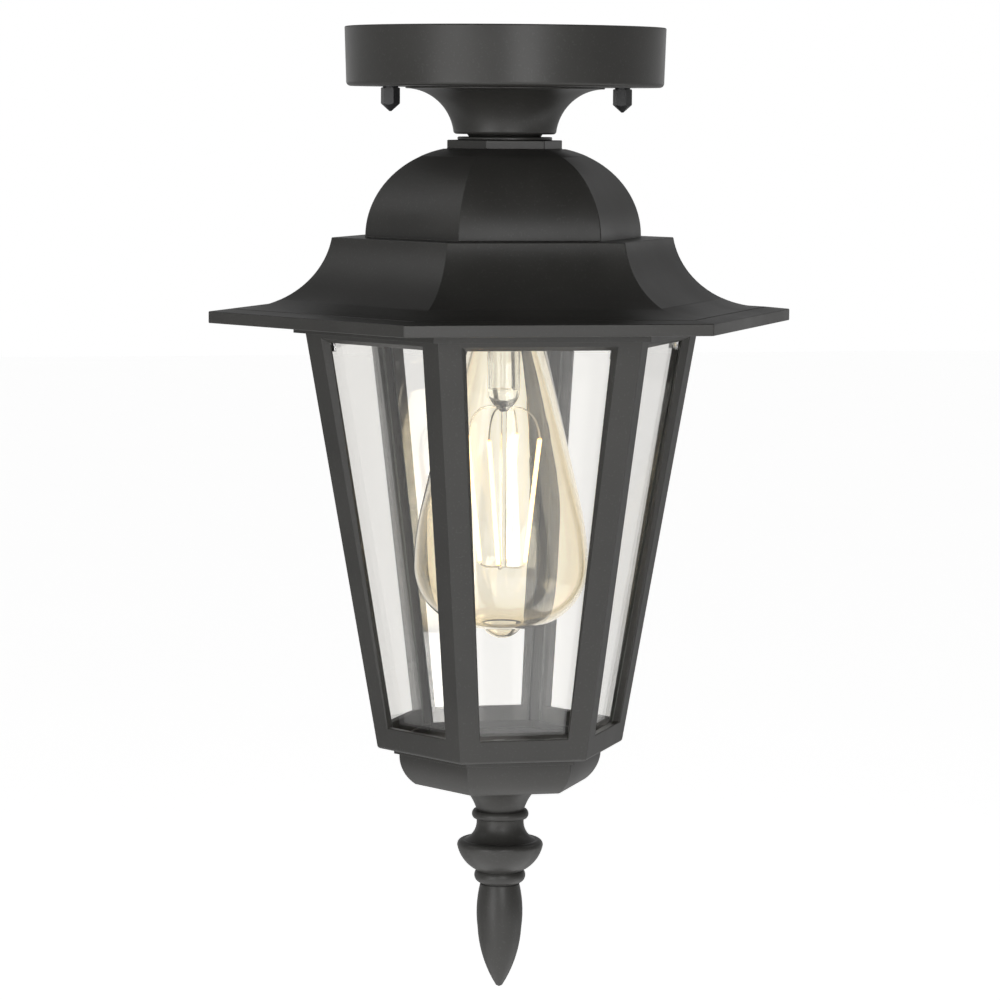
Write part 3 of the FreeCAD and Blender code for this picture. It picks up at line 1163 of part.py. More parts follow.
def lamp_envelope():
    """Hollow pear-shaped glass: tapered neck, long shoulder, round belly and a blown tip."""
    widest = "-(lamp_length - lamp_tip_height - lamp_belly_curve)"
    floor = "-(lamp_length - lamp_tip_height)"
    shoulder = "lamp_radius - lamp_shoulder_curve + sqrt(lamp_shoulder_curve^2 - lamp_shoulder_height^2)"
    inside = "lamp_cap_radius - lamp_cap_wall - lamp_cement_gap"
    start = "-(%s + lamp_glass_drop)" % CAP_START
    cone = "-(%s + lamp_neck_height)" % CAP_DROP
    tip_curve = "(lamp_tip_radius^2 + lamp_tip_height^2) / 2 / lamp_tip_height"
    wall = "lamp_glass_wall"
    body = turned_body("lamp_envelope", [
        (inside, start), (inside + " - " + wall, start), (inside + " - " + wall, cone),
        (shoulder + " - " + wall, widest + " + lamp_shoulder_height"),
        ("lamp_radius - " + wall, widest, "-(lamp_shoulder_curve - %s)" % wall),
        ("lamp_radius - lamp_belly_curve", floor + " + " + wall, "-(lamp_belly_curve - %s)" % wall),
        ("0", floor + " + " + wall), ("0", "-lamp_length"), ("lamp_tip_radius", floor, tip_curve),
        ("lamp_radius - lamp_belly_curve", floor), ("lamp_radius", widest, "lamp_belly_curve"),
        (shoulder, widest + " + lamp_shoulder_height", "lamp_shoulder_curve"), ("lamp_neck_radius", cone),
        (inside, "-%s - lamp_cement_gap" % CAP_DROP)])
    return keep(place(body, LAMP_TOP))


def lamp_stem():
    """Flared glass stem, pinched at its end, with a thin glass rod down the middle."""
    flare = "lamp_cap_radius - lamp_cap_wall - lamp_cement_gap * 2 - lamp_glass_wall"
    start = "-(%s + lamp_flare_drop)" % CAP_START
    end = "-(%s + lamp_stem_length)" % CAP_DROP
    bore = "lamp_stem_radius - lamp_rod_radius"
    body = turned_body("lamp_stem", [
        (flare + " - lamp_rod_radius", start), (flare, start), (flare, start + " - lamp_rod_radius"),
        ("lamp_stem_radius", "-" + CAP_DROP), ("lamp_stem_radius", end),
        ("lamp_pinch_radius", end + " - lamp_pinch_height"),
        ("lamp_rod_radius", end + " - lamp_pinch_height - lamp_rod_radius"),
        ("lamp_rod_radius", "-lamp_length + lamp_rod_foot"), ("0", "-lamp_length + lamp_rod_foot"),
        ("0", end + " + lamp_rod_radius"), (bore, end + " + lamp_rod_radius"), (bore, "-" + CAP_DROP)])
    return keep(place(body, LAMP_TOP))


def polar(reach, turn, height):
    """A point from its reach, its turn from -Y towards +X, and its height."""
    angle = math.radians(turn)
    return VECTOR(reach * math.sin(angle), -reach * math.cos(angle), height)


def rod_between(start, end, radius):
    """A round rod between two points."""
    along = end - start
    return Part.makeCylinder(radius, along.Length, start, along)


def shape_node(label, solids, level):
    """A sub-part whose solids are set directly, placed at a height below the ceiling."""
    feature = DOC.addObject("Part::Feature", label)
    feature.Label = label
    feature.Shape = Part.makeCompound(solids)
    return keep(place(feature, level))


def lamp_filaments():
    """Leaning filament rods and the wires that hold them above and below."""
    foot = value("-lamp_length + lamp_rod_foot + filament_foot_rise")
    top = foot + value("filament_length")
    pinch = value("-(%s + lamp_stem_length + lamp_pinch_height)" % CAP_DROP)
    rod_end = value("-lamp_length + lamp_rod_foot + support_radius * 2")
    gap = value("support_radius * 2")
    count = int(value("filament_count"))
    filaments, wires = [], []
    for number in range(count):
        step = 360.0 / count * number
        upper = polar(value("filament_top_reach"), value("filament_top_turn") + step, top)
        lower = polar(value("filament_foot_reach"), value("filament_foot_turn") + step, foot)
        filaments.append(rod_between(lower, upper, value("filament_radius")))
        inner = polar(value("lamp_pinch_radius + support_radius"), value("filament_top_turn") + step, pinch)
        wires.append(rod_between(inner, upper + VECTOR(0, 0, gap), value("support_radius")))
        inner = polar(value("lamp_rod_radius + support_radius"), value("filament_foot_turn") + step, rod_end)
        wires.append(rod_between(inner, lower - VECTOR(0, 0, gap), value("support_radius")))
    shape_node("lamp_filaments", filaments, LAMP_TOP)
    shape_node("lamp_supports", wires, LAMP_TOP)


# ---------------------------------------------------------------------------------------------
# Leads
# ---------------------------------------------------------------------------------------------
def routed_tube(points, bends, radius):
    """A round tube along straight runs joined by tangent arcs of the given radii."""
    edges = []
    here = points[0]
    for corner, following, bend in zip(points[1:-1], points[2:], bends):
        before = (corner - here).normalize()
        after = (following - corner).normalize()
        turn = before.getAngle(after)
        cut = bend * math.tan(turn / 2)
        first, last = corner - before * cut, corner + after * cut
        toward = (after - before).normalize()
        middle = corner + toward * (bend / math.cos(turn / 2) - bend)
        edges.append(Part.LineSegment(here, first).toShape())
        edges.append(Part.Arc(first, middle, last).toShape())
        here = last
    edges.append(Part.LineSegment(here, points[-1]).toShape())
    path = Part.Wire(edges)
    start_ring = Part.Wire(Part.Circle(points[0], points[1] - points[0], radius).toShape())
    return path.makePipeShell([start_ring], True, False)


def leads():
    """Two insulated leads from the ceramic base, up the pipe and out to their connectors."""
    base, hub = value(BASE_TOP), value(HOLDER_TOP + " - holder_hub_height - holder_wall * 2")
    level = -value("lead_level")
    near, far = value("lead_offset"), value("lead_base_offset")
    run, bend = value("lead_run"), value("lead_bend")
    for name, side in (("lead_line", 1), ("lead_neutral", -1)):
        route = [VECTOR(side * far, 0, base), VECTOR(side * far, 0, (base + hub) / 2),
                 VECTOR(side * near, 0, hub), VECTOR(side * near, 0, level),
                 VECTOR(side * near, side * (run + value("connector_cover")), level)]
        tube = routed_tube(route, [bend, bend, bend], value("lead_radius"))
        shape_node(name, [tube], "0")


def connectors():
    """Two twist-on connectors that cap the leads inside the canopy."""
    cap = turned_body("connector", [
        ("lead_radius + thread_clearance", "0"), ("connector_radius", "0"),
        ("connector_point_radius", "connector_length"), ("0", "connector_length"),
        ("0", "connector_cover + thread_clearance"),
        ("lead_radius + thread_clearance", "connector_cover + thread_clearance")])
    placed = []
    for number, side in enumerate((1, -1)):
        link = DOC.addObject("App::Link", "connector_%d" % number)
        link.LinkedObject = cap
        spot = VECTOR(side * value("lead_offset"), side * value("lead_run"), -value("lead_level"))
        link.Placement = FreeCAD.Placement(spot, FreeCAD.Rotation(VECTOR(1, 0, 0), -90 * side))
        placed.append(link)
    keep(copies("wire_connectors", placed))


# ---------------------------------------------------------------------------------------------
# Build, check and write
# ---------------------------------------------------------------------------------------------
def build():
    """Every sub-part, from the ceiling down."""
    crossbar()
    mounting_studs()
    stud_nuts()
    ground_screw()
    canopy()
    for name, sign in LEFT_RIGHT:
        cap_nut(name, sign)
    neck()
    threaded_pipe()
    pipe_stack()
    roof()
    cage()
    for number in range(1, SIDES + 1):
        glass_pane(number)
    pane_clips()
    clip_screws()
    cage_screws()
    bottom_cup()
    floor_plate()
    finial()
    holder_cap()
    holder_shell()
    holder_base()
    screw_shell()
    centre_contact()
    lamp_cap()
    lamp_envelope()
    lamp_stem()
    lamp_filaments()
    leads()
    connectors()
    DOC.recompute()


def check():
    """Stop if any object failed or any sub-part is not a sound solid."""
    for thing in DOC.Objects:
        if "Invalid" in thing.State or "Error" in thing.State:
            raise RuntimeError("failed: %s %s" % (thing.Name, thing.State))
    for node in NODES:
        shape = node.Shape
        if shape.isNull() or not shape.isValid() or not shape.Solids:
            raise RuntimeError("not a sound solid: " + node.Label)


def write():
    """One STEP file for each sub-part."""
    os.makedirs("parts", exist_ok=True)
    for node in NODES:
        node.Shape.exportStep("parts/%s.step" % node.Label)
        print("%-18s %2d solids %10.1f mm3" % (node.Label, len(node.Shape.Solids), node.Shape.Volume))


build()
check()
write()
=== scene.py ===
"""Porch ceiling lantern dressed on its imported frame: castings, panes, lit lamp and plain studio.

Sizes in the classes are millimetres; they become metres once, where a mesh is written.
"""

import logging
import math
from dataclasses import dataclass, field
from enum import Enum

import bmesh
import bpy
import numpy as np
from mathutils import Matrix, Vector


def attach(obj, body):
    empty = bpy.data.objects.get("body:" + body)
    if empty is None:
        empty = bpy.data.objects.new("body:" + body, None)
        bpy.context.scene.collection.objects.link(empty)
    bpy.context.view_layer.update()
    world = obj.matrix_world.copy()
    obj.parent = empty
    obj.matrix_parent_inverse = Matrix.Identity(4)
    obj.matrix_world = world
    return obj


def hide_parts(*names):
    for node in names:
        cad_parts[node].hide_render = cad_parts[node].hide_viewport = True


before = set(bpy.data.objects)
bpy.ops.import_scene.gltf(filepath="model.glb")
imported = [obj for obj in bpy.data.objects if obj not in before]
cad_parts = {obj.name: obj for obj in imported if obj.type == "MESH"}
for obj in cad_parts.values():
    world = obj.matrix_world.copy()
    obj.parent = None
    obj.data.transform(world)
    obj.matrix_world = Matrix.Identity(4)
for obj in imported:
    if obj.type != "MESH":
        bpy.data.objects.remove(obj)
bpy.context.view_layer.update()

MILLIMETRE = 0.001
ARC_STEP = math.radians(3.5)
FACES = 6
FACE_TURN = math.radians(60.0)
CORNER_STRETCH = 1.0 / math.cos(math.radians(30.0))
HALF_FACE = math.tan(math.radians(30.0))

Piece = bpy.types.Object
Socket = bpy.types.NodeSocket
Material = bpy.types.Material
Triple = tuple[float, float, float]

log = logging.getLogger("porch_lantern")


class Turn(Enum):
    """The side of an arc's chord that its centre lies on, seen along the outline."""

    LEFT = 1
    RIGHT = -1


class Hand(Enum):
    """The two sides of the canopy, as the sign of X."""

    LEFT = -1
    RIGHT = 1


class Body(Enum):
    """The rigid bodies that pieces ride on."""

    CEILING = "ceiling_set"
    NUT_LEFT = "cap_nut_left"
    NUT_RIGHT = "cap_nut_right"
    CAGE = "cage_set"
    FLOOR = "floor_set"
    FINIAL = "finial_set"
    LAMP = "lamp"


# ---------------------------------------------------------------------------------------------
# Surfaces
# ---------------------------------------------------------------------------------------------
def arc_centre(start: np.ndarray, end: np.ndarray, radius: float, turn: Turn) -> np.ndarray:
    """Centre of the arc between two points.

    It is the middle of the chord, moved square to it by the square root of the radius squared
    less half the chord squared.

    Args:
        start: first end of the arc.
        end: last end of the arc.
        radius: radius of the arc.
        turn: side of the chord that the centre lies on.

    Returns:
        The centre.
    """
    chord = end - start
    length = float(np.hypot(*chord))
    rise = math.sqrt(max(radius * radius - length * length / 4.0, 0.0)) * turn.value
    return (start + end) / 2.0 + rise * np.array([-chord[1], chord[0]]) / length


@dataclass
class Profile:
    """A half outline drawn leg by leg, as distances from the axis and heights.

    Attributes:
        across: distance of the start from the axis.
        up: height of the start.
    """

    across: float
    up: float
    legs: list[np.ndarray] = field(default_factory=list)

    def __post_init__(self) -> None:
        """Starts the outline at its first point."""
        self.legs.append(np.array([[self.across, self.up]]))

    def line(self, across: float, up: float) -> "Profile":
        """Adds a straight leg.

        Args:
            across: distance of the leg's end from the axis.
            up: height of the leg's end.

        Returns:
            The same outline, so that legs can be chained.
        """
        self.legs.append(np.array([[across, up]]))
        return self

    def arc(self, across: float, up: float, radius: float, turn: Turn) -> "Profile":
        """Adds a circular leg, whose points turn evenly about its centre.

        Args:
            across: distance of the leg's end from the axis.
            up: height of the leg's end.
            radius: radius of the arc.
            turn: side of the chord that the centre lies on.

        Returns:
            The same outline, so that legs can be chained.
        """
        start, end = self.legs[-1][-1], np.array([across, up])
        length = float(np.hypot(*(end - start)))
        centre = arc_centre(start, end, radius, turn)
        first = math.atan2(*(start - centre)[::-1])
        sweep = 2.0 * math.asin(min(length / 2.0 / radius, 1.0)) * turn.value
        steps = max(2, math.ceil(abs(sweep) / ARC_STEP))
        angles = first + sweep * np.arange(1, steps + 1) / steps
        points = centre + radius * np.stack([np.cos(angles), np.sin(angles)], axis=1)
        points[-1] = end
        self.legs.append(points)
        return self

    def moved(self, up: float) -> "Profile":
        """The same outline, moved up."""
        self.legs = [leg + np.array([0.0, up]) for leg in self.legs]
        return self

    def points(self) -> np.ndarray:
        """All points of the outline, one row each."""
        return np.concatenate(self.legs)


def grid_faces(rows: int, columns: int, close_rows: bool, close_columns: bool) -> np.ndarray:
    """Quads of a grid of vertices numbered row by row.

    Each quad joins a vertex, its neighbour in the row and the two below them.

    Args:
        rows: number of rows.
        columns: number of vertices in a row.
        close_rows: True if the last row joins the first.
        close_columns: True if each row is a closed ring.

    Returns:
        Array of vertex numbers, four to a face.
    """
    row = np.arange(rows if close_rows else rows - 1)[:, None]
    column = np.arange(columns if close_columns else columns - 1)[None, :]
    below, beside = (row + 1) % rows, (column + 1) % columns
    corners = (row * columns + column, row * columns + beside,
               below * columns + beside, below * columns + column)
    return np.stack(np.broadcast_arrays(*corners), axis=-1).reshape(-1, 4)


def swept(profile: np.ndarray, angles: np.ndarray, stretch: float = 1.0) -> np.ndarray:
    """A profile carried round the axis.

    A point at distance a and height h goes to a times the stretch times (cosine, sine) of each
    angle, at height h.

    Args:
        profile: distances from the axis and heights.
        angles: angles of the positions, in radians.
        stretch: factor on every distance, such as from flat to corner of a hexagon.

    Returns:
        Array of rows by positions by three coordinates.
    """
    reach = profile[:, :1] * stretch
    height = np.broadcast_to(profile[:, 1:], (len(profile), len(angles)))
    return np.stack([reach * np.cos(angles), reach * np.sin(angles), height], axis=-1)


def turned(points: np.ndarray, angle: float) -> np.ndarray:
    """Points turned about the axis by an angle in radians, by the plane rotation formula."""
    cosine, sine = math.cos(angle), math.sin(angle)
    return points @ np.array([[cosine, sine, 0.0], [-sine, cosine, 0.0], [0.0, 0.0, 1.0]])


def raised(points: np.ndarray, height: float) -> np.ndarray:
    """Points moved up by a height."""
    return points + np.array([0.0, 0.0, height])


def tube(path: np.ndarray, radius: np.ndarray, around: int) -> np.ndarray:
    """A round tube along a path.

    The tangent at each point is the difference of its neighbours.  Each ring lies square to it:
    the first side is the tangent crossed with a fixed helper direction, the second is the
    tangent crossed with the first.

    Args:
        path: points along the middle of the tube.
        radius: radius at each point.
        around: vertices in a ring.

    Returns:
        Array of rings by vertices by three coordinates.
    """
    tangent = np.gradient(path, axis=0)
    tangent /= np.linalg.norm(tangent, axis=1, keepdims=True)
    helper = np.array([0.0, 0.0, 1.0]) if abs(tangent[:, 2]).max() < 0.9 else np.array([0.31, 0.95, 0.02])
    first = np.cross(tangent, helper)
    first /= np.linalg.norm(first, axis=1, keepdims=True)
    second = np.cross(tangent, first)
    angle = np.linspace(0.0, 2.0 * math.pi, around, endpoint=False)[None, :, None]
    ring = np.cos(angle) * first[:, None, :] + np.sin(angle) * second[:, None, :]
    return path[:, None, :] + radius[:, None, None] * ring


@dataclass
class Shell:
    """Vertices and faces gathered for one piece, in millimetres."""

    vertices: list[np.ndarray] = field(default_factory=list)
    faces: list[np.ndarray] = field(default_factory=list)
    along: list[np.ndarray] = field(default_factory=list)
    count: int = 0

    def add(self, grid: np.ndarray, close_rows: bool = False, close_columns: bool = True) -> "Shell":
        """Adds a grid surface.

        Args:
            grid: rows by columns by three coordinates.
            close_rows: True if the last row joins the first.
            close_columns: True if each row is a closed ring.

        Returns:
            The same shell, so that surfaces can be chained.
        """
        rows, columns = grid.shape[:2]
        self.vertices.append(grid.reshape(-1, 3))
        self.faces.append(grid_faces(rows, columns, close_rows, close_columns) + self.count)
        self.along.append(np.repeat(np.linspace(0.0, 1.0, rows), columns))
        self.count += rows * columns
        return self

    def repeated(self, copies: int) -> "Shell":
        """The shell with evenly turned copies of itself about the axis.

        Args:
            copies: number of copies in a full turn, the first included.

        Returns:
            A new shell.
        """
        vertices, faces = np.concatenate(self.vertices), np.concatenate(self.faces)
        result = Shell()
        for number in range(copies):
            result.vertices.append(turned(vertices, 2.0 * math.pi * number / copies))
            result.faces.append(faces + self.count * number)
            result.along.extend(self.along)
        result.count = self.count * copies
        return result

    def piece(self, name: str, smooth_below: float = 30.0) -> Piece:
        """Writes the shell as a mesh object in metres.

        Vertices that coincide are merged, flat slivers go, and faces are turned outwards.

        Args:
            name: name of the piece.
            smooth_below: angle in degrees below which an edge is shaded smooth.

        Returns:
            The new object, at the origin.
        """
        mesh = bpy.data.meshes.new(name)
        points = np.concatenate(self.vertices) * MILLIMETRE
        mesh.from_pydata(points.tolist(), [], np.concatenate(self.faces).tolist())
        values = mesh.attributes.new("along", "FLOAT", "POINT")
        values.data.foreach_set("value", np.concatenate(self.along).astype(np.float32))
        tidy_mesh(mesh)
        mesh.shade_smooth()
        mesh.set_sharp_from_angle(angle=math.radians(smooth_below))
        piece = bpy.data.objects.new(name, mesh)
        bpy.context.scene.collection.objects.link(piece)
        return piece


def tidy_mesh(mesh: bpy.types.Mesh) -> None:
    """Merges coinciding vertices, drops collapsed faces and turns the rest outwards.

    Args:
        mesh: the mesh, changed in place.
    """
    work = bmesh.new()
    work.from_mesh(mesh)
    bmesh.ops.remove_doubles(work, verts=work.verts, dist=2e-6)
    bmesh.ops.dissolve_degenerate(work, edges=work.edges, dist=1e-6)
    bmesh.ops.recalc_face_normals(work, faces=work.faces)
    work.to_mesh(mesh)
    work.free()


def full_ring(count: int) -> np.ndarray:
    """Evenly spaced angles of a full turn, in radians."""
    return np.linspace(0.0, 2.0 * math.pi, count, endpoint=False)


def lathe(name: str, profile: Profile, closed: bool, around: int = 128) -> Piece:
    """A turned piece.

    Args:
        name: name of the piece.
        profile: its half outline.
        closed: True if the outline returns to its start, False if it ends on the axis.
        around: vertices in a ring.

    Returns:
        The new object.
    """
    return Shell().add(swept(profile.points(), full_ring(around)), close_rows=closed).piece(name)


def faceted(name: str, profile: Profile) -> Piece:
    """A six-sided casting whose closed section is carried round the corners.

    Args:
        name: name of the piece.
        profile: its closed section, with distances square to the flats.

    Returns:
        The new object.
    """
    grid = swept(profile.points(), full_ring(FACES), CORNER_STRETCH)
    return Shell().add(grid, close_rows=True).piece(name)


def soften(piece: Piece, width: float, segments: int = 2, angle: float = 30.0) -> Piece:
    """Rounds the sharp edges of a piece, as casting and coating do.

    Args:
        piece: the piece.
        width: width of the rounding in millimetres.
        segments: number of strips across the rounding.
        angle: sharpest bend in degrees that stays as it is.

    Returns:
        The same piece.
    """
    bevel = piece.modifiers.new("rounded_edges", "BEVEL")
    bevel.width = width * MILLIMETRE
    bevel.segments = segments
    bevel.limit_method = "ANGLE"
    bevel.angle_limit = math.radians(angle)
    bevel.harden_normals = True
    bevel.miter_outer = "MITER_ARC"
    return piece


# ---------------------------------------------------------------------------------------------
# Node graphs
# ---------------------------------------------------------------------------------------------
class Graph:
    """A shader node tree with short calls for adding and joining nodes."""

    def __init__(self, tree: bpy.types.NodeTree) -> None:
        """Keeps the tree to work on.

        Args:
            tree: the node tree.
        """
        self.tree = tree

    def add(self, kind: str, **values: object) -> bpy.types.Node:
        """Adds a node and sets it up.

        Args:
            kind: the node's type name.
            **values: node settings, or input values whose names start with "in_".

        Returns:
            The new node.
        """
        node = self.tree.nodes.new(kind)
        for key, setting in values.items():
            if key.startswith("in_"):
                node.inputs[key[3:].replace("_", " ")].default_value = setting
            else:
                setattr(node, key, setting)
        return node

    def join(self, source: Socket, target: Socket) -> None:
        """Joins an output socket to an input socket."""
        self.tree.links.new(source, target)

    def maths(self, operation: str, first: object, second: object = 0.0) -> Socket:
        """Adds a Math node fed by sockets or numbers.

        Args:
            operation: the Math node's operation.
            first: socket or number for the first value.
            second: socket or number for the second value.

        Returns:
            The node's result socket.
        """
        node = self.add("ShaderNodeMath", operation=operation)
        for place, value in enumerate((first, second)):
            if isinstance(value, Socket):
                self.join(value, node.inputs[place])
            else:
                node.inputs[place].default_value = value
        return node.outputs[0]

    def spread(self, value: Socket, low: float, high: float, to_low: float = 0.0,
               to_high: float = 1.0) -> Socket:
        """Maps a value from one range to another, clamped.

        Args:
            value: socket to map.
            low: start of its range.
            high: end of its range.
            to_low: result at the start.
            to_high: result at the end.

        Returns:
            The mapped socket.
        """
        node = self.add("ShaderNodeMapRange")
        self.join(value, node.inputs["Value"])
        for key, number in (("From Min", low), ("From Max", high), ("To Min", to_low), ("To Max", to_high)):
            node.inputs[key].default_value = number
        return node.outputs["Result"]

    def blend(self, mask: Socket, first: tuple, second: tuple) -> Socket:
        """Mixes two colours by a mask.

        Args:
            mask: socket that is 0 for the first colour and 1 for the second.
            first: first colour.
            second: second colour.

        Returns:
            The mixed colour socket.
        """
        node = self.add("ShaderNodeMix", data_type="RGBA")
        self.join(mask, node.inputs["Factor"])
        node.inputs[6].default_value = (*first, 1.0)
        node.inputs[7].default_value = (*second, 1.0)
        return node.outputs[2]

    def noise(self, vector: Socket, scale: object, detail: float,
              roughness: float = 0.5) -> Socket:
        """Adds a noise pattern.

        Args:
            vector: coordinates.
            scale: socket or number, in repeats per metre.
            detail: octaves of finer detail.
            roughness: weight of the finer detail.

        Returns:
            The noise value socket.
        """
        node = self.add("ShaderNodeTexNoise", in_Detail=detail, in_Roughness=roughness)
        self.join(vector, node.inputs["Vector"])
        if isinstance(scale, Socket):
            self.join(scale, node.inputs["Scale"])
        else:
            node.inputs["Scale"].default_value = scale
        return node.outputs["Fac"]


def effect_group(name: str, inputs: dict[str, float],
                 outputs: tuple[str, ...]) -> tuple[Graph, bpy.types.Node, bpy.types.Node]:
    """Starts a shader node group with a Vector input, number inputs and number outputs.

    Args:
        name: name of the group.
        inputs: names and usual values of the number inputs.
        outputs: names of the outputs.

    Returns:
        The graph, its input node and its output node.
    """
    tree = bpy.data.node_groups.new(name, "ShaderNodeTree")
    tree.interface.new_socket("Vector", in_out="INPUT", socket_type="NodeSocketVector")
    for key, usual in inputs.items():
        tree.interface.new_socket(key, in_out="INPUT", socket_type="NodeSocketFloat").default_value = usual
    for key in outputs:
        tree.interface.new_socket(key, in_out="OUTPUT", socket_type="NodeSocketFloat")
    graph = Graph(tree)
    return graph, graph.add("NodeGroupInput"), graph.add("NodeGroupOutput")


def powder_grain_group() -> bpy.types.NodeTree:
    """Fine orange-peel texture of a baked powder coat, with slow colour drift and pale specks.

    Returns:
        Group with outputs Height, Drift and Specks.
    """
    graph, given, made = effect_group(
        "powder_grain", {"Grains per metre": 2200.0, "Drift per metre": 30.0}, ("Height", "Drift", "Specks"))
    vector = given.outputs["Vector"]
    fine = graph.noise(vector, given.outputs["Grains per metre"], 2.0, 0.6)
    coarse = graph.noise(vector, graph.maths("MULTIPLY", given.outputs["Grains per metre"], 0.37), 1.0)
    pits = graph.add("ShaderNodeTexVoronoi", feature="SMOOTH_F1", in_Smoothness=0.6)
    graph.join(vector, pits.inputs["Vector"])
    graph.join(graph.maths("MULTIPLY", given.outputs["Grains per metre"], 0.8), pits.inputs["Scale"])
    height = graph.maths("ADD", graph.maths("MULTIPLY", fine, 0.45), graph.maths("MULTIPLY", coarse, 0.35))
    height = graph.maths("ADD", height, graph.maths("MULTIPLY", pits.outputs["Distance"], 0.3))
    graph.join(height, made.inputs["Height"])
    graph.join(graph.noise(vector, given.outputs["Drift per metre"], 3.0), made.inputs["Drift"])
    specks = graph.noise(vector, graph.maths("MULTIPLY", given.outputs["Grains per metre"], 0.6), 0.0)
    graph.join(graph.spread(specks, 0.66, 0.76), made.inputs["Specks"])
    return graph.tree


def drawn_metal_group() -> bpy.types.NodeTree:
    """Long fine scratches of drawn or rolled metal, with a cloudy tarnish.

    Returns:
        Group with outputs Height and Tarnish.
    """
    graph, given, made = effect_group("drawn_metal", {"Lines per metre": 2500.0}, ("Height", "Tarnish"))
    vector = given.outputs["Vector"]
    squeeze = graph.add("ShaderNodeMapping", in_Scale=(1.0, 0.06, 1.0))
    graph.join(vector, squeeze.inputs["Vector"])
    lines = graph.noise(squeeze.outputs["Vector"], given.outputs["Lines per metre"], 3.0, 0.65)
    graph.join(lines, made.inputs["Height"])
    graph.join(graph.noise(vector, 160.0, 4.0, 0.6), made.inputs["Tarnish"])
    return graph.tree


def glass_film_group() -> bpy.types.NodeTree:
    """Thin film of wiped dust on glass: soft streaks and a few small specks.

    Returns:
        Group with outputs Film and Waves.
    """
    graph, given, made = effect_group("glass_film", {"Streaks per metre": 45.0}, ("Film", "Waves"))
    vector = given.outputs["Vector"]
    stretch = graph.add("ShaderNodeMapping", in_Scale=(1.0, 1.0, 0.2))
    graph.join(vector, stretch.inputs["Vector"])
    streaks = graph.noise(stretch.outputs["Vector"], given.outputs["Streaks per metre"], 4.0, 0.6)
    specks = graph.noise(vector, 900.0, 0.0)
    film = graph.maths("ADD", graph.spread(streaks, 0.45, 0.8, 0.0, 0.6), graph.spread(specks, 0.74, 0.8))
    graph.join(film, made.inputs["Film"])
    graph.join(graph.noise(vector, 22.0, 1.0), made.inputs["Waves"])
    return graph.tree


def moulded_skin_group() -> bpy.types.NodeTree:
    """Soft flow marks and fine pores of a moulded or glazed surface.

    Returns:
        Group with outputs Height and Flow.
    """
    graph, given, made = effect_group("moulded_skin", {"Pores per metre": 1800.0}, ("Height", "Flow"))
    vector = given.outputs["Vector"]
    graph.join(graph.noise(vector, given.outputs["Pores per metre"], 2.0), made.inputs["Height"])
    graph.join(graph.noise(vector, 70.0, 3.0, 0.55), made.inputs["Flow"])
    return graph.tree


class Effects:
    """The shared node groups, each built once."""

    def __init__(self) -> None:
        """Builds the groups."""
        self.powder_grain = powder_grain_group()
        self.drawn_metal = drawn_metal_group()
        self.glass_film = glass_film_group()
        self.moulded_skin = moulded_skin_group()


# ---------------------------------------------------------------------------------------------
# Finishes
# ---------------------------------------------------------------------------------------------
def start_material(name: str) -> tuple[Material, Graph, bpy.types.Node]:
    """Starts a material with its Principled shader.

    Args:
        name: name of the material.

    Returns:
        The material, its graph and its Principled node.
    """
    material = bpy.data.materials.new(name)
    material.use_nodes = True
    graph = Graph(material.node_tree)
    return material, graph, material.node_tree.nodes["Principled BSDF"]


def place_effect(graph: Graph, effect: bpy.types.NodeTree, **values: float) -> bpy.types.Node:
    """Places a shared effect on Object coordinates.

    Args:
        graph: graph of the material.
        effect: the group.
        **values: values of its number inputs, with _ for each space.

    Returns:
        The group node.
    """
    node = graph.add("ShaderNodeGroup", node_tree=effect)
    graph.join(graph.add("ShaderNodeTexCoord").outputs["Object"], node.inputs["Vector"])
    for key, value in values.items():
        node.inputs[key.replace("_", " ")].default_value = value
    return node


def bump(graph: Graph, shader: bpy.types.Node, height: Socket, depth: float,
         strength: float) -> None:
    """Feeds a height to a shader's normal.

    Args:
        graph: graph of the material.
        shader: the Principled node.
        height: height socket, 0 to 1.
        depth: depth of the relief in millimetres.
        strength: share of the relief that is shown.
    """
    node = graph.add("ShaderNodeBump", in_Strength=strength, in_Distance=depth * MILLIMETRE)
    graph.join(height, node.inputs["Height"])
    graph.join(node.outputs["Normal"], shader.inputs["Normal"])


@dataclass(frozen=True)
class PowderCoat:
    """Fine-textured powder coat.

    Attributes:
        name: name of the material.
        dark: darker tone.
        light: lighter tone.
        roughness: middle roughness.
        depth: depth of the grain in millimetres.
        sheen: weight of the mirror-like part of the reflection.
    """

    name: str = "black_powder_coat"
    dark: Triple = (0.0210, 0.0204, 0.0188)
    light: Triple = (0.0275, 0.0267, 0.0247)
    roughness: float = 0.42
    depth: float = 0.04
    sheen: float = 0.30

    def build(self, effects: Effects) -> Material:
        """Makes the material.

        Args:
            effects: the shared groups.

        Returns:
            The material.
        """
        material, graph, shader = start_material(self.name)
        grain = place_effect(graph, effects.powder_grain, Grains_per_metre=2200.0, Drift_per_metre=30.0)
        tone = graph.blend(graph.spread(grain.outputs["Drift"], 0.3, 0.7), self.dark, self.light)
        pale = graph.add("ShaderNodeMix", data_type="RGBA")
        graph.join(graph.maths("MULTIPLY", grain.outputs["Specks"], 0.05), pale.inputs["Factor"])
        graph.join(tone, pale.inputs[6])
        pale.inputs[7].default_value = (0.16, 0.16, 0.16, 1.0)
        graph.join(pale.outputs[2], shader.inputs["Base Color"])
        rough = graph.spread(grain.outputs["Drift"], 0.3, 0.7, self.roughness - 0.04, self.roughness + 0.05)
        graph.join(rough, shader.inputs["Roughness"])
        shader.inputs["Specular IOR Level"].default_value = self.sheen
        bump(graph, shader, grain.outputs["Height"], self.depth, 0.5)
        return material


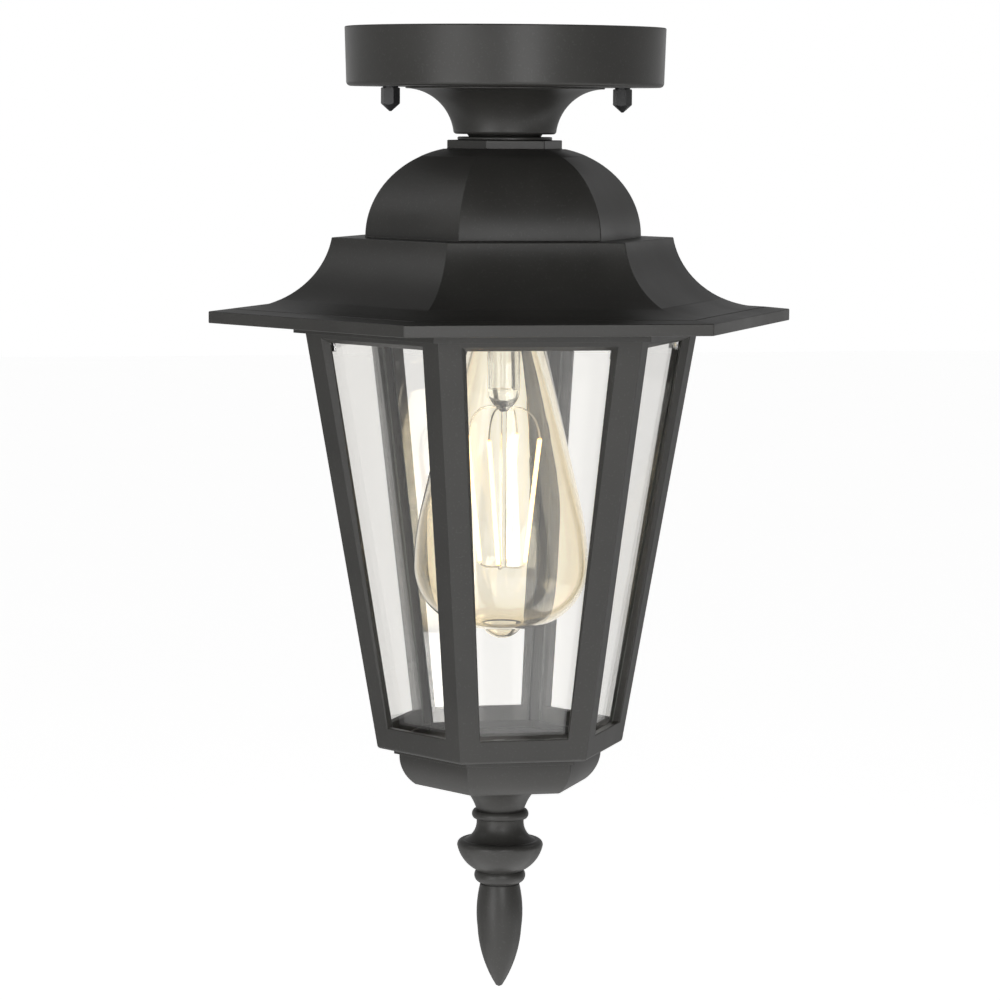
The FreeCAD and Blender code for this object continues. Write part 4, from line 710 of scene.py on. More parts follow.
@dataclass(frozen=True)
class DrawnMetal:
    """Bare or plated metal with fine drawn lines and light tarnish.

    Attributes:
        name: name of the material.
        bright: clean colour.
        dull: tarnished colour.
        roughness: middle roughness.
    """

    name: str
    bright: Triple
    dull: Triple
    roughness: float = 0.32

    def build(self, effects: Effects) -> Material:
        """Makes the material.

        Args:
            effects: the shared groups.

        Returns:
            The material.
        """
        material, graph, shader = start_material(self.name)
        lines = place_effect(graph, effects.drawn_metal, Lines_per_metre=2500.0)
        mask = graph.spread(lines.outputs["Tarnish"], 0.4, 0.7)
        graph.join(graph.blend(mask, self.bright, self.dull), shader.inputs["Base Color"])
        rough = graph.spread(lines.outputs["Height"], 0.3, 0.7, self.roughness - 0.08, self.roughness + 0.1)
        graph.join(rough, shader.inputs["Roughness"])
        shader.inputs["Metallic"].default_value = 1.0
        bump(graph, shader, lines.outputs["Height"], 0.02, 0.5)
        return material


@dataclass(frozen=True)
class ClearGlass:
    """Clear or tinted glass that lets shadow rays through.

    Attributes:
        name: name of the material.
        face: colour seen square on.
        rim: colour seen at a slant, where the path through the glass is longer.
        index: refractive index.
        haze: roughness where the wiped film lies.
        waves: depth of the slow waves in the surface, in millimetres.
    """

    name: str
    face: Triple
    rim: Triple
    index: float = 1.46
    haze: float = 0.03
    waves: float = 0.02

    def build(self, effects: Effects) -> Material:
        """Makes the material.

        Args:
            effects: the shared groups.

        Returns:
            The material.
        """
        material, graph, shader = start_material(self.name)
        film = place_effect(graph, effects.glass_film, Streaks_per_metre=45.0)
        slant = graph.add("ShaderNodeLayerWeight", in_Blend=0.35)
        graph.join(graph.blend(slant.outputs["Facing"], self.face, self.rim), shader.inputs["Base Color"])
        graph.join(graph.spread(film.outputs["Film"], 0.0, 1.0, 0.0, self.haze), shader.inputs["Roughness"])
        shader.inputs["Transmission Weight"].default_value = 1.0
        shader.inputs["IOR"].default_value = self.index
        bump(graph, shader, film.outputs["Waves"], self.waves, 0.3)
        through = graph.add("ShaderNodeBsdfTransparent", in_Color=(*self.face, 1.0))
        mixed = graph.add("ShaderNodeMixShader")
        path = graph.add("ShaderNodeLightPath")
        graph.join(path.outputs["Is Shadow Ray"], mixed.inputs["Fac"])
        graph.join(shader.outputs["BSDF"], mixed.inputs[1])
        graph.join(through.outputs["BSDF"], mixed.inputs[2])
        output = material.node_tree.nodes["Material Output"]
        graph.join(mixed.outputs["Shader"], output.inputs["Surface"])
        return material


@dataclass(frozen=True)
class Moulded:
    """Moulded plastic, phenolic or glazed ceramic.

    Attributes:
        name: name of the material.
        dark: darker tone.
        light: lighter tone.
        roughness: middle roughness.
        depth: depth of the pores in millimetres.
    """

    name: str
    dark: Triple
    light: Triple
    roughness: float = 0.4
    depth: float = 0.03

    def build(self, effects: Effects) -> Material:
        """Makes the material.

        Args:
            effects: the shared groups.

        Returns:
            The material.
        """
        material, graph, shader = start_material(self.name)
        skin = place_effect(graph, effects.moulded_skin, Pores_per_metre=1800.0)
        mask = graph.spread(skin.outputs["Flow"], 0.35, 0.65)
        graph.join(graph.blend(mask, self.dark, self.light), shader.inputs["Base Color"])
        graph.join(graph.spread(skin.outputs["Flow"], 0.3, 0.7, self.roughness - 0.05, self.roughness + 0.06),
                   shader.inputs["Roughness"])
        bump(graph, shader, skin.outputs["Height"], self.depth, 0.5)
        return material


@dataclass(frozen=True)
class GlowRod:
    """Lit filament rod: pale in the middle and orange towards its ends.

    Attributes:
        name: name of the material.
        middle: light in the middle of the rod.
        end: light at the rod's ends.
        strength: brightness.
    """

    name: str = "lit_filament"
    middle: Triple = (1.0, 0.74, 0.36)
    end: Triple = (0.85, 0.28, 0.05)
    strength: float = 2.4

    def build(self, effects: Effects) -> Material:
        """Makes the material.

        Args:
            effects: the shared groups.

        Returns:
            The material.
        """
        material, graph, shader = start_material(self.name)
        skin = place_effect(graph, effects.moulded_skin, Pores_per_metre=700.0)
        place = graph.add("ShaderNodeAttribute", attribute_name="along")
        from_middle = graph.maths("ABSOLUTE", graph.maths("SUBTRACT", place.outputs["Fac"], 0.5))
        ragged = graph.maths("MULTIPLY", skin.outputs["Height"], 0.06)
        mask = graph.spread(graph.maths("ADD", from_middle, ragged), 0.42, 0.52)
        light = graph.blend(mask, self.middle, self.end)
        graph.join(light, shader.inputs["Base Color"])
        graph.join(light, shader.inputs["Emission Color"])
        shader.inputs["Emission Strength"].default_value = self.strength
        graph.join(graph.spread(skin.outputs["Flow"], 0.3, 0.7, 0.45, 0.6), shader.inputs["Roughness"])
        bump(graph, shader, skin.outputs["Height"], 0.05, 0.5)
        return material


class Finishes:
    """Every material of the lantern, built once."""

    def __init__(self, effects: Effects) -> None:
        """Builds the materials.

        Args:
            effects: the shared groups.
        """
        self.coat = PowderCoat().build(effects)
        self.fine_coat = PowderCoat("black_coat_on_small_parts", (0.018, 0.018, 0.019),
                                    (0.03, 0.03, 0.03), 0.4, 0.04).build(effects)
        self.zinc = DrawnMetal("zinc_plate", (0.72, 0.72, 0.70), (0.52, 0.51, 0.47), 0.34).build(effects)
        self.spring = DrawnMetal("spring_steel", (0.42, 0.42, 0.43), (0.30, 0.30, 0.31), 0.36).build(effects)
        self.brass = DrawnMetal("brass_sheet", (0.82, 0.62, 0.28), (0.62, 0.44, 0.20), 0.28).build(effects)
        self.nickel = DrawnMetal("nickel_plate", (0.74, 0.71, 0.66), (0.56, 0.52, 0.46), 0.26).build(effects)
        self.wire = DrawnMetal("support_wire", (0.62, 0.58, 0.52), (0.45, 0.42, 0.38), 0.30).build(effects)
        self.pane = ClearGlass("pane_glass", (0.935, 0.928, 0.912), (0.86, 0.85, 0.83)).build(effects)
        self.amber = ClearGlass("amber_glass", (1.0, 0.974, 0.89),
                                (0.88, 0.69, 0.34), 1.45, 0.015, 0.04).build(effects)
        self.stem = ClearGlass("stem_glass", (0.98, 0.98, 0.97),
                               (0.90, 0.90, 0.88), 1.5, 0.02, 0.03).build(effects)
        self.phenolic = Moulded("phenolic", (0.018, 0.017, 0.016),
                                (0.03, 0.028, 0.026), 0.38, 0.03).build(effects)
        self.ceramic = Moulded("glazed_ceramic", (0.80, 0.79, 0.74),
                               (0.90, 0.89, 0.85), 0.2, 0.02).build(effects)
        self.black_glass = Moulded("insulating_glass", (0.02, 0.02, 0.035),
                                   (0.035, 0.035, 0.05), 0.12, 0.01).build(effects)
        self.lead_black = Moulded("black_insulation", (0.02, 0.02, 0.02),
                                  (0.035, 0.035, 0.035), 0.45, 0.02).build(effects)
        self.lead_white = Moulded("white_insulation", (0.74, 0.73, 0.70),
                                  (0.84, 0.83, 0.80), 0.45, 0.02).build(effects)
        self.connector = Moulded("orange_moulding", (0.72, 0.22, 0.03),
                                 (0.86, 0.30, 0.05), 0.35, 0.03).build(effects)
        self.green = Moulded("green_paint", (0.02, 0.20, 0.06), (0.04, 0.30, 0.09), 0.3, 0.02).build(effects)
        self.glow = GlowRod().build(effects)
        # Dark grey on the panes' ground edges is painted shade: it stands for the dark shadow gap along the
        # foot and sides of the windows.
        self.ground_edge_and_painted_shade = Moulded("ground_glass_edge_painted_shade", (0.06, 0.065, 0.06),
                                   (0.10, 0.11, 0.10), 0.6, 0.03).build(effects)


def coat_node(node: str, material: Material) -> None:
    """Gives a piece of the frame its material.

    Args:
        node: name of the frame's piece.
        material: the material.
    """
    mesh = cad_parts[node].data
    mesh.materials.clear()
    mesh.materials.append(material)


def settle(piece: Piece, body: Body, slot: str, material: Material,
           *nodes: str) -> Piece:
    """Dresses a new piece, sets it riding and lets it stand for pieces of the frame.

    Args:
        piece: the new piece.
        body: the body that it moves with.
        slot: name of a material slot; not used.
        material: its material.
        *nodes: pieces of the frame that it stands for.

    Returns:
        The same piece.
    """
    piece.data.materials.clear()
    piece.data.materials.append(material)
    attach(piece, body.value)
    if nodes:
        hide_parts(*nodes)
    return piece


@dataclass
class Assembly:
    """A group of pieces made or dressed together.

    Attributes:
        finishes: the lantern's materials.
    """

    finishes: Finishes

    def cast(self, piece: Piece, body: Body, *nodes: str) -> str:
        """Settles a black casting.

        Args:
            piece: the new piece.
            body: the body that it moves with.
            *nodes: pieces of the frame that it stands for.

        Returns:
            Name of the piece.
        """
        return settle(piece, body, "black_casting", self.finishes.coat, *nodes).name


# ---------------------------------------------------------------------------------------------
# Canopy and neck
# ---------------------------------------------------------------------------------------------
@dataclass
class CeilingFixings(Assembly):
    """Strap, studs, nuts, pipe and washers, mostly hidden by the canopy."""

    def build(self) -> list[str]:
        """Dresses the fixings.

        Returns:
            Names of the dressed pieces.
        """
        plated = ["crossbar", "mounting_studs", "stud_nuts", "threaded_pipe", "lock_washer", "canopy_nut",
                  "roof_nut", "clip_screws", "cage_screws", "finial_pipe", "floor_nut"]
        for node in plated:
            coat_node(node, self.finishes.zinc)
        coat_node("ground_screw", self.finishes.green)
        coat_node("floor_plate", self.finishes.coat)
        return plated + ["ground_screw", "floor_plate"]


@dataclass
class Canopy(Assembly):
    """Round pan at the ceiling."""

    radius: float = 60.2
    low_radius: float = 59.5
    height: float = 22.2
    wall: float = 2.0
    corner: float = 1.7
    rim: float = 0.5
    hole: float = 5.1

    def build(self) -> list[str]:
        """Makes the pan.

        Returns:
            Names of the made pieces.
        """
        shape = (Profile(self.hole, -self.height)
                 .line(self.low_radius - self.corner, -self.height)
                 .arc(self.low_radius + 0.06, -self.height + self.corner, self.corner, Turn.LEFT)
                 .line(self.radius, -self.rim)
                 .arc(self.radius - self.rim, 0.0, self.rim, Turn.LEFT)
                 .line(self.radius - self.wall, 0.0)
                 .line(self.low_radius - self.wall, -self.height + self.wall)
                 .line(self.hole, -self.height + self.wall))
        pan = lathe("canopy_pan", shape, closed=True, around=192)
        return [self.cast(pan, Body.CEILING, "canopy")]


@dataclass
class CapNut(Assembly):
    """Pointed hexagon nut under the canopy."""

    hand: Hand
    spacing: float = 88.9
    shift: float = 0.8
    top: float = -22.2
    turn: float = -22.0
    collar: float = 2.9
    collar_height: float = 0.5
    across_flats: float = 6.3
    height: float = 5.9
    point: float = 2.9
    tip: float = 0.4
    chamfer: float = 0.3

    def build(self) -> list[str]:
        """Makes the nut.

        The radius at each angle and height is the least of the hexagon, whose radius is half
        the flats over the cosine of the angle from the nearest flat, the cone of the point and
        a small chamfer at the top.  A round collar stands over it.

        Returns:
            Names of the made pieces.
        """
        angles = full_ring(96)
        from_flat = (angles + FACE_TURN / 2.0) % FACE_TURN - FACE_TURN / 2.0
        hexagon = self.across_flats / 2.0 / np.cos(from_flat)
        corner = self.across_flats / 2.0 * CORNER_STRETCH
        drop = np.concatenate([np.linspace(0.0, 0.5, 6), np.linspace(0.8, self.height - 0.5, 6),
                               np.linspace(self.height - 0.3, self.height + self.point, 26)])
        slope = (corner - self.tip) / self.point
        cone = corner - np.maximum(drop - self.height, 0.0) * slope
        bevel = corner - np.maximum(self.chamfer - drop, 0.0)
        radius = np.minimum(hexagon[None, :], np.minimum(cone, bevel)[:, None])
        radius = np.concatenate([np.full((2, 96), self.collar), radius])
        level = self.top - np.concatenate([[0.0, self.collar_height], drop + self.collar_height])
        place = angles + FACE_TURN / 2.0 + math.radians(self.turn)
        grid = np.stack([radius * np.cos(place), radius * np.sin(place),
                         np.broadcast_to(level[:, None], radius.shape)], axis=-1)
        flat = np.array([0.0, 0.0, 1.0])
        across = np.array([self.hand.value * self.spacing / 2.0 + self.shift, 0.0, 0.0])
        grid = np.concatenate([grid[:1] * flat, grid, grid[-1:] * flat]) + across
        name = "cap_nut_%s" % self.hand.name.lower()
        nut = Shell().add(grid).piece(name + "_turned", smooth_below=22.0)
        settle(nut, Body(name), "black_brass", self.finishes.fine_coat, name)
        return [nut.name]


@dataclass
class Neck(Assembly):
    """Bell-shaped neck with the thin ring and plate under it."""

    top: float = -22.2
    flange: float = 37.4
    lip: float = 0.7
    curve: float = 18.2
    height: float = 17.6
    wall: float = 2.5
    floor: float = 3.0
    foot_corner: float = 1.3
    hole: float = 5.1
    ring: float = 14.2
    ring_foot: float = 13.5
    ring_height: float = 1.0
    plate: float = 17.8
    plate_height: float = 1.2

    def hollow(self, level: float, radius: float) -> float:
        """Distance from the axis to the hollow curve at a level below the neck's top."""
        rise = self.lip + self.curve + level
        return self.flange - math.sqrt(radius * radius - rise * rise)

    def build(self) -> list[str]:
        """Makes the neck, its ring and its plate.

        Returns:
            Names of the made pieces.
        """
        inner = self.curve + self.wall
        start, floor = -self.height + self.foot_corner, -self.height + self.floor
        shape = (Profile(self.hole, -self.height)
                 .line(self.hollow(start, self.curve) - self.foot_corner, -self.height)
                 .arc(self.hollow(start, self.curve), start, self.foot_corner, Turn.LEFT)
                 .arc(self.flange, -self.lip, self.curve, Turn.RIGHT)
                 .line(self.flange, 0.0)
                 .line(self.hollow(0.0, inner), 0.0)
                 .arc(self.hollow(floor, inner), floor, inner, Turn.LEFT)
                 .line(self.hole, floor))
        shape.moved(self.top)
        bell = soften(lathe("neck_bell", shape, closed=True), 0.25)
        level = self.top - self.height
        rim = self.disc(self.ring, self.ring_foot, self.ring_height, level)
        ring = soften(lathe("neck_ring", rim, closed=True), 0.15)
        level -= self.ring_height
        disc = self.disc(self.plate, self.plate, self.plate_height, level)
        plate = soften(lathe("roof_plate", disc, closed=True), 0.4)
        return [self.cast(bell, Body.CEILING, "neck"), self.cast(ring, Body.CEILING, "neck_spacer"),
                self.cast(plate, Body.CEILING, "crown_plate")]

    def disc(self, radius: float, foot: float, height: float, top: float) -> Profile:
        """Outline of a flat or tapered ring.

        Args:
            radius: outer radius at its top.
            foot: outer radius at its foot.
            height: thickness.
            top: height of its top.

        Returns:
            The outline.
        """
        low = top - height
        return Profile(self.hole, top).line(radius, top).line(foot, low).line(self.hole, low)


# ---------------------------------------------------------------------------------------------
# Roof
# ---------------------------------------------------------------------------------------------
@dataclass
class Roof(Assembly):
    """Six-sided roof casting with its three screw pillars."""

    top: float = -42.0
    wall: float = 2.5
    boss: float = 38.3
    boss_height: float = 3.3
    dome_top: float = 40.6
    dome_inner_offset: float = 0.4
    dome: float = 92.0
    dome_curve: float = 33.5
    dome_height: float = 32.5
    dome_foot: float = 0.6
    ledge: float = 113.9
    skirt: float = 175.8
    skirt_curve: float = 31.3
    skirt_height: float = 26.5
    groove_width: float = 1.0
    groove_depth: float = 0.7
    eave: float = 193.9
    eave_fall: float = 0.9
    eave_thickness: float = 4.35
    eave_foot: float = 5.4
    seat: float = 134.0
    hole: float = 5.1
    pillar_reach: float = 59.0
    pillar_radius: float = 4.2
    pillar_bore: float = 2.05
    pillar_bore_depth: float = 11.0
    pillar_height: float = 17.0
    pillar_flare: float = 2.0

    def section(self) -> Profile:
        """Closed section of the roof, from the crown out to the eave and back inside.

        Returns:
            The section.
        """
        dome_top = -self.boss_height
        dome_foot = dome_top - self.dome_height
        ledge = dome_foot - self.dome_foot
        foot = ledge - self.skirt_height
        edge = foot - self.eave_fall
        under = edge - self.eave_thickness
        start, end = np.array([self.ledge / 2.0, ledge]), np.array([self.skirt / 2.0, foot])
        centre = arc_centre(start, end, self.skirt_curve, Turn.LEFT)
        inner = self.skirt_curve + self.wall

        def below_skirt(across: float) -> float:
            """Height of the hollow side of the skirt at a distance from the axis."""
            return float(centre[1] - math.sqrt(inner ** 2 - (across - centre[0]) ** 2))

        half_seat, eave_inner = self.seat / 2.0, self.eave / 2.0 - self.eave_foot
        ledge_inside = ledge - self.wall
        ledge_inner = float(centre[0] - math.sqrt(inner ** 2 - (ledge_inside - centre[1]) ** 2))
        shape = (Profile(self.hole, 0.0)
                 .line(self.boss / 2.0, 0.0)
                 .line(self.boss / 2.0, dome_top)
                 .line(self.dome_top / 2.0, dome_top)
                 .arc(self.dome / 2.0, dome_foot, self.dome_curve, Turn.RIGHT)
                 .line(self.dome / 2.0, ledge)
                 .line(*start)
                 .arc(float(end[0]), float(end[1]), self.skirt_curve, Turn.LEFT)
                 .line(self.skirt / 2.0, foot - self.groove_depth)
                 .line(self.skirt / 2.0 + self.groove_width, foot - self.groove_depth)
                 .line(self.skirt / 2.0 + self.groove_width, foot)
                 .line(self.eave / 2.0, edge)
                 .line(self.eave / 2.0, under)
                 .line(eave_inner, under)
                 .line(eave_inner, below_skirt(self.skirt / 2.0))
                 .line(self.skirt / 2.0, below_skirt(self.skirt / 2.0))
                 .arc(half_seat, below_skirt(half_seat), inner, Turn.RIGHT)
                 .line(half_seat, under)
                 .line(half_seat - self.wall, under)
                 .line(half_seat - self.wall, below_skirt(half_seat - self.wall))
                 .arc(ledge_inner, ledge_inside, inner, Turn.RIGHT)
                 .line(self.dome / 2.0 - self.wall, ledge_inside)
                 .line(self.dome / 2.0 - self.wall, dome_foot)
                 .arc(self.dome_top / 2.0 - self.dome_inner_offset, dome_top - self.wall,
                      self.dome_curve - self.wall, Turn.LEFT)
                 .line(self.hole, dome_top - self.wall))
        return shape.moved(self.top)

    def build(self) -> list[str]:
        """Makes the casting and its pillars.

        Returns:
            Names of the made pieces.
        """
        casting = soften(faceted("roof_casting", self.section()), 0.35, 2, 25.0)
        underside = self.top - self.boss_height - self.dome_height - self.dome_foot - self.skirt_height \
            - self.eave_fall - self.eave_thickness
        post = (Profile(0.0, underside + self.pillar_bore_depth)
                .line(self.pillar_bore, underside + self.pillar_bore_depth)
                .line(self.pillar_bore, underside)
                .line(self.pillar_radius, underside)
                .line(self.pillar_radius, underside + self.pillar_height)
                .arc(self.pillar_radius + self.pillar_flare,
                     underside + (self.pillar_height + self.pillar_flare), self.pillar_flare, Turn.RIGHT))
        grid = swept(post.points(), full_ring(40)) + np.array([self.pillar_reach, 0.0, 0.0])
        pillars = Shell().add(grid).repeated(3).piece("roof_pillars")
        return [self.cast(casting, Body.CEILING, "roof"), self.cast(soften(pillars, 0.2), Body.CEILING)]


# ---------------------------------------------------------------------------------------------
# Cage and panes
# ---------------------------------------------------------------------------------------------
@dataclass
class CageShape:
    """Sizes of the tapered cage and where a point of its sloping walls lies."""

    top: float = -113.9
    flange_thickness: float = 3.75
    flange: float = 138.7
    top_flats: float = 130.8
    foot_flats: float = 82.4
    height: float = 157.9
    wall: float = 3.0
    floor_raise: float = 1.0
    foot_corner: float = 1.4
    glass: float = 2.5
    gap: float = 0.2
    rib_width: float = 4.0

    @property
    def slope(self) -> float:
        """Inward run of a wall for each millimetre of drop."""
        return (self.top_flats - self.foot_flats) / 2.0 / self.height

    @property
    def slant(self) -> float:
        """Length along a wall for each millimetre of drop."""
        return math.hypot(1.0, self.slope)

    @property
    def sine(self) -> float:
        """Sine of a wall's lean."""
        return self.slope / self.slant

    @property
    def cosine(self) -> float:
        """Cosine of a wall's lean."""
        return 1.0 / self.slant

    def inset(self, drop: float, depth: float) -> float:
        """Distance from the axis to a wall's depth, at a drop below the flange."""
        return self.top_flats / 2.0 - drop * self.slope - depth * self.slant

    def level_edge(self, across: float, height: float) -> np.ndarray:
        """Two ends of a level edge of the front face, left then right."""
        half = across * HALF_FACE
        return np.array([[-half, -across, height], [half, -across, height]])

    def on_face(self, corners: np.ndarray, depth: np.ndarray | float) -> np.ndarray:
        """Points of the front face from their place in it.

        A point at u to the right and v down the slope lies at x = u, at y = v times the sine of
        the slope plus the depth times its cosine in from the top edge, and at v times the
        cosine less the depth times the sine below the flange.

        Args:
            corners: rows of u and v, with v positive downwards.
            depth: depth below the face, square to it, alike for all rows or one for each.

        Returns:
            Rows of three coordinates.
        """
        inward = corners[:, 1] * self.sine + depth * self.cosine
        down = corners[:, 1] * self.cosine - depth * self.sine
        return np.stack([corners[:, 0], inward - self.top_flats / 2.0, self.top - down], axis=1)


@dataclass
class Cage(Assembly):
    """Tapered cage: flange, posts, bevelled windows, ribs, lugs and stepped foot."""

    shape: CageShape = field(default_factory=CageShape)
    window_top: float = 53.8
    window_foot: float = 33.2
    top_margin: float = 3.8
    foot_margin: float = 8.9
    bevel_width: float = 2.0
    bevel_depth: float = 2.4
    bevel_foot_depth: float = 0.3
    undercut: float = 0.5
    step: float = 71.6
    step_height: float = 2.1
    sill_height: float = 2.8
    sill_wall: float = 0.8
    rebate: float = 68.8
    rebate_depth: float = 1.5
    opening: float = 65.6
    rib_depth: float = 3.0
    lug_reach: float = 59.0
    lug_width: float = 9.0
    lug_hole: float = 2.3
    lug_back: float = 3.0
    lug_stretch: float = 6.0

    def window(self, slope: float, depth: float) -> np.ndarray:
        """Corners of the window at a depth, foot left first, in the plane of the face.

        Bevel and undercut each keep one slope and meet on the lip, which lies deep at the top
        of the window and near the face at its foot.  Each corner therefore stands out from the
        lip by the slope times its depth from the lip's.

        Args:
            slope: growth of the window for each millimetre over the lip.
            depth: depth below the face.

        Returns:
            Four rows of u and v.
        """
        over_foot, over_top = slope * (self.bevel_foot_depth - depth), slope * (self.bevel_depth - depth)
        foot = self.shape.height * self.shape.slant - self.foot_margin + over_foot
        top = self.top_margin - over_top
        half_foot, half_top = self.window_foot / 2.0 + over_foot, self.window_top / 2.0 + over_top
        return np.array([[-half_foot, foot], [half_foot, foot], [half_top, top], [-half_top, top]])

    def wall_loops(self, face_foot: float) -> np.ndarray:
        """Loops round one window, from the outer face over the lip to the inner face.

        Args:
            face_foot: drop at which the outer face ends and the foot's rounding starts.

        Returns:
            Loops by four corners by three coordinates.
        """
        shape = self.shape
        outer = np.concatenate([shape.level_edge(shape.inset(face_foot, 0.0), shape.top - face_foot),
                                shape.level_edge(shape.top_flats / 2.0, shape.top)[::-1]])
        floor, mouth = shape.height - shape.floor_raise, -shape.flange_thickness
        inner = np.concatenate([shape.level_edge(shape.inset(floor, shape.wall), shape.top - floor),
                                shape.level_edge(shape.inset(mouth, shape.wall), shape.top - mouth)[::-1]])
        lip = np.array([self.bevel_foot_depth, self.bevel_foot_depth, self.bevel_depth, self.bevel_depth])
        undercut_slope = -self.undercut / (shape.wall - self.bevel_foot_depth)
        return np.stack([outer, shape.on_face(self.window(self.bevel_width / self.bevel_depth, 0.0), 0.0),
                         shape.on_face(self.window(0.0, 0.0), lip),
                         shape.on_face(self.window(undercut_slope, shape.wall), shape.wall), inner])

    def top_strip(self) -> np.ndarray:
        """Edges over the flange, from the outer face to the mouth of the cage.

        Returns:
            Edges by two ends by three coordinates.
        """
        shape = self.shape
        above = shape.top + shape.flange_thickness
        return np.stack([shape.level_edge(shape.top_flats / 2.0, shape.top),
                         shape.level_edge(shape.flange / 2.0, shape.top),
                         shape.level_edge(shape.flange / 2.0, above),
                         shape.level_edge(shape.inset(-shape.flange_thickness, shape.wall), above)])

    def foot_strip(self, run: float) -> np.ndarray:
        """Edges under the foot, round the step, the opening, the rebate and the upstand.

        Args:
            run: length of the rounding along the face and along the underside.

        Returns:
            Edges by two ends by three coordinates.
        """
        shape = self.shape
        foot, floor = shape.top - shape.height, shape.top - shape.height + shape.floor_raise
        half = shape.foot_flats / 2.0
        drop = shape.height - run / shape.slant
        behind_pane = shape.wall + shape.gap + shape.glass
        upstand = shape.inset(shape.height - shape.floor_raise, behind_pane) - shape.gap
        outline = (Profile(shape.inset(drop, 0.0), shape.top - drop)
                   .arc(half - run, foot, shape.foot_corner, Turn.RIGHT)
                   .line(self.step / 2.0, foot)
                   .line(self.step / 2.0, foot - self.step_height)
                   .line(self.opening / 2.0, foot - self.step_height)
                   .line(self.opening / 2.0, floor - self.rebate_depth)
                   .line(self.rebate / 2.0, floor - self.rebate_depth)
                   .line(self.rebate / 2.0, floor)
                   .line(upstand - self.sill_wall, floor)
                   .line(upstand - self.sill_wall, floor + self.sill_height)
                   .line(upstand, floor + self.sill_height)
                   .line(upstand, floor)
                   .line(shape.inset(shape.height - shape.floor_raise, shape.wall), floor))
        points = outline.points()
        left = np.stack([-points[:, 0] * HALF_FACE, -points[:, 0], points[:, 1]], axis=1)
        return np.stack([left, left * np.array([-1.0, 1.0, 1.0])], axis=1)

    def ribs(self) -> Shell:
        """Upright ribs behind the posts: a rectangle at the flange joined to one at the floor.

        Returns:
            The shell of six ribs.
        """
        shape = self.shape
        depth = self.rib_depth + shape.wall / 2.0
        rings = []
        half_raise = shape.floor_raise / 2.0
        low = (shape.height - half_raise, shape.top - shape.height + half_raise)
        for drop, height in ((0.0, shape.top), low):
            centre = shape.inset(drop, shape.wall) * CORNER_STRETCH - self.rib_depth / 2.0 + shape.wall / 4.0
            along = np.array([-0.5, 0.5, 0.5, -0.5]) * depth + centre
            side = np.array([-0.5, -0.5, 0.5, 0.5]) * shape.rib_width
            rings.append(np.stack([along, side, np.full(4, height)], axis=1))
        rings = np.stack(rings)
        caps = rings.mean(axis=1, keepdims=True).repeat(4, axis=1)
        return Shell().add(np.stack([caps[0], rings[0], rings[1], caps[1]])).repeated(FACES)

    def lugs(self) -> Shell:
        """Three drilled lugs: a stadium outline joined to a round hole, above and below.

        The stadium is a half circle about the hole and two straight sides out to the flange.

        Returns:
            The shell of three lugs.
        """
        angles = full_ring(48)
        half = self.lug_width / 2.0
        reach = self.shape.top_flats / 2.0 * CORNER_STRETCH - self.lug_reach - self.lug_back
        outer = np.stack([half * np.cos(angles), half * np.sin(angles)], axis=1)
        stretched = np.clip(outer[:, 0] * self.lug_stretch, 0.0, reach)
        outer[:, 0] = np.where(outer[:, 0] > 0.0, stretched, outer[:, 0])
        hole = np.stack([self.lug_hole * np.cos(angles), self.lug_hole * np.sin(angles)], axis=1)
        rows = []
        thick = self.shape.flange_thickness
        for ring, height in ((hole, 0.0), (outer, 0.0), (outer, thick), (hole, thick)):
            level = np.full(len(angles), self.shape.top + height)
            rows.append(np.stack([ring[:, 0] + self.lug_reach, ring[:, 1], level], axis=1))
        return Shell().add(np.stack(rows), close_rows=True).repeated(3)

    def build(self) -> list[str]:
        """Makes the cage, its ribs and its lugs.

        Returns:
            Names of the made pieces.
        """
        bend = math.pi / 2.0 - math.atan(self.shape.slope)
        run = self.shape.foot_corner * math.tan(bend / 2.0)
        walls = Shell().add(self.wall_loops(self.shape.height - run / self.shape.slant))
        walls.add(self.top_strip(), close_columns=False)
        walls.add(self.foot_strip(run), close_columns=False)
        casting = soften(walls.repeated(FACES).piece("cage_casting"), 0.32, 2, 28.0)
        ribs = soften(self.ribs().piece("cage_ribs"), 0.3)
        lugs = soften(self.lugs().piece("cage_lugs"), 0.3)
        return [self.cast(casting, Body.CAGE, "cage"), self.cast(ribs, Body.CAGE),
                self.cast(lugs, Body.CAGE)]


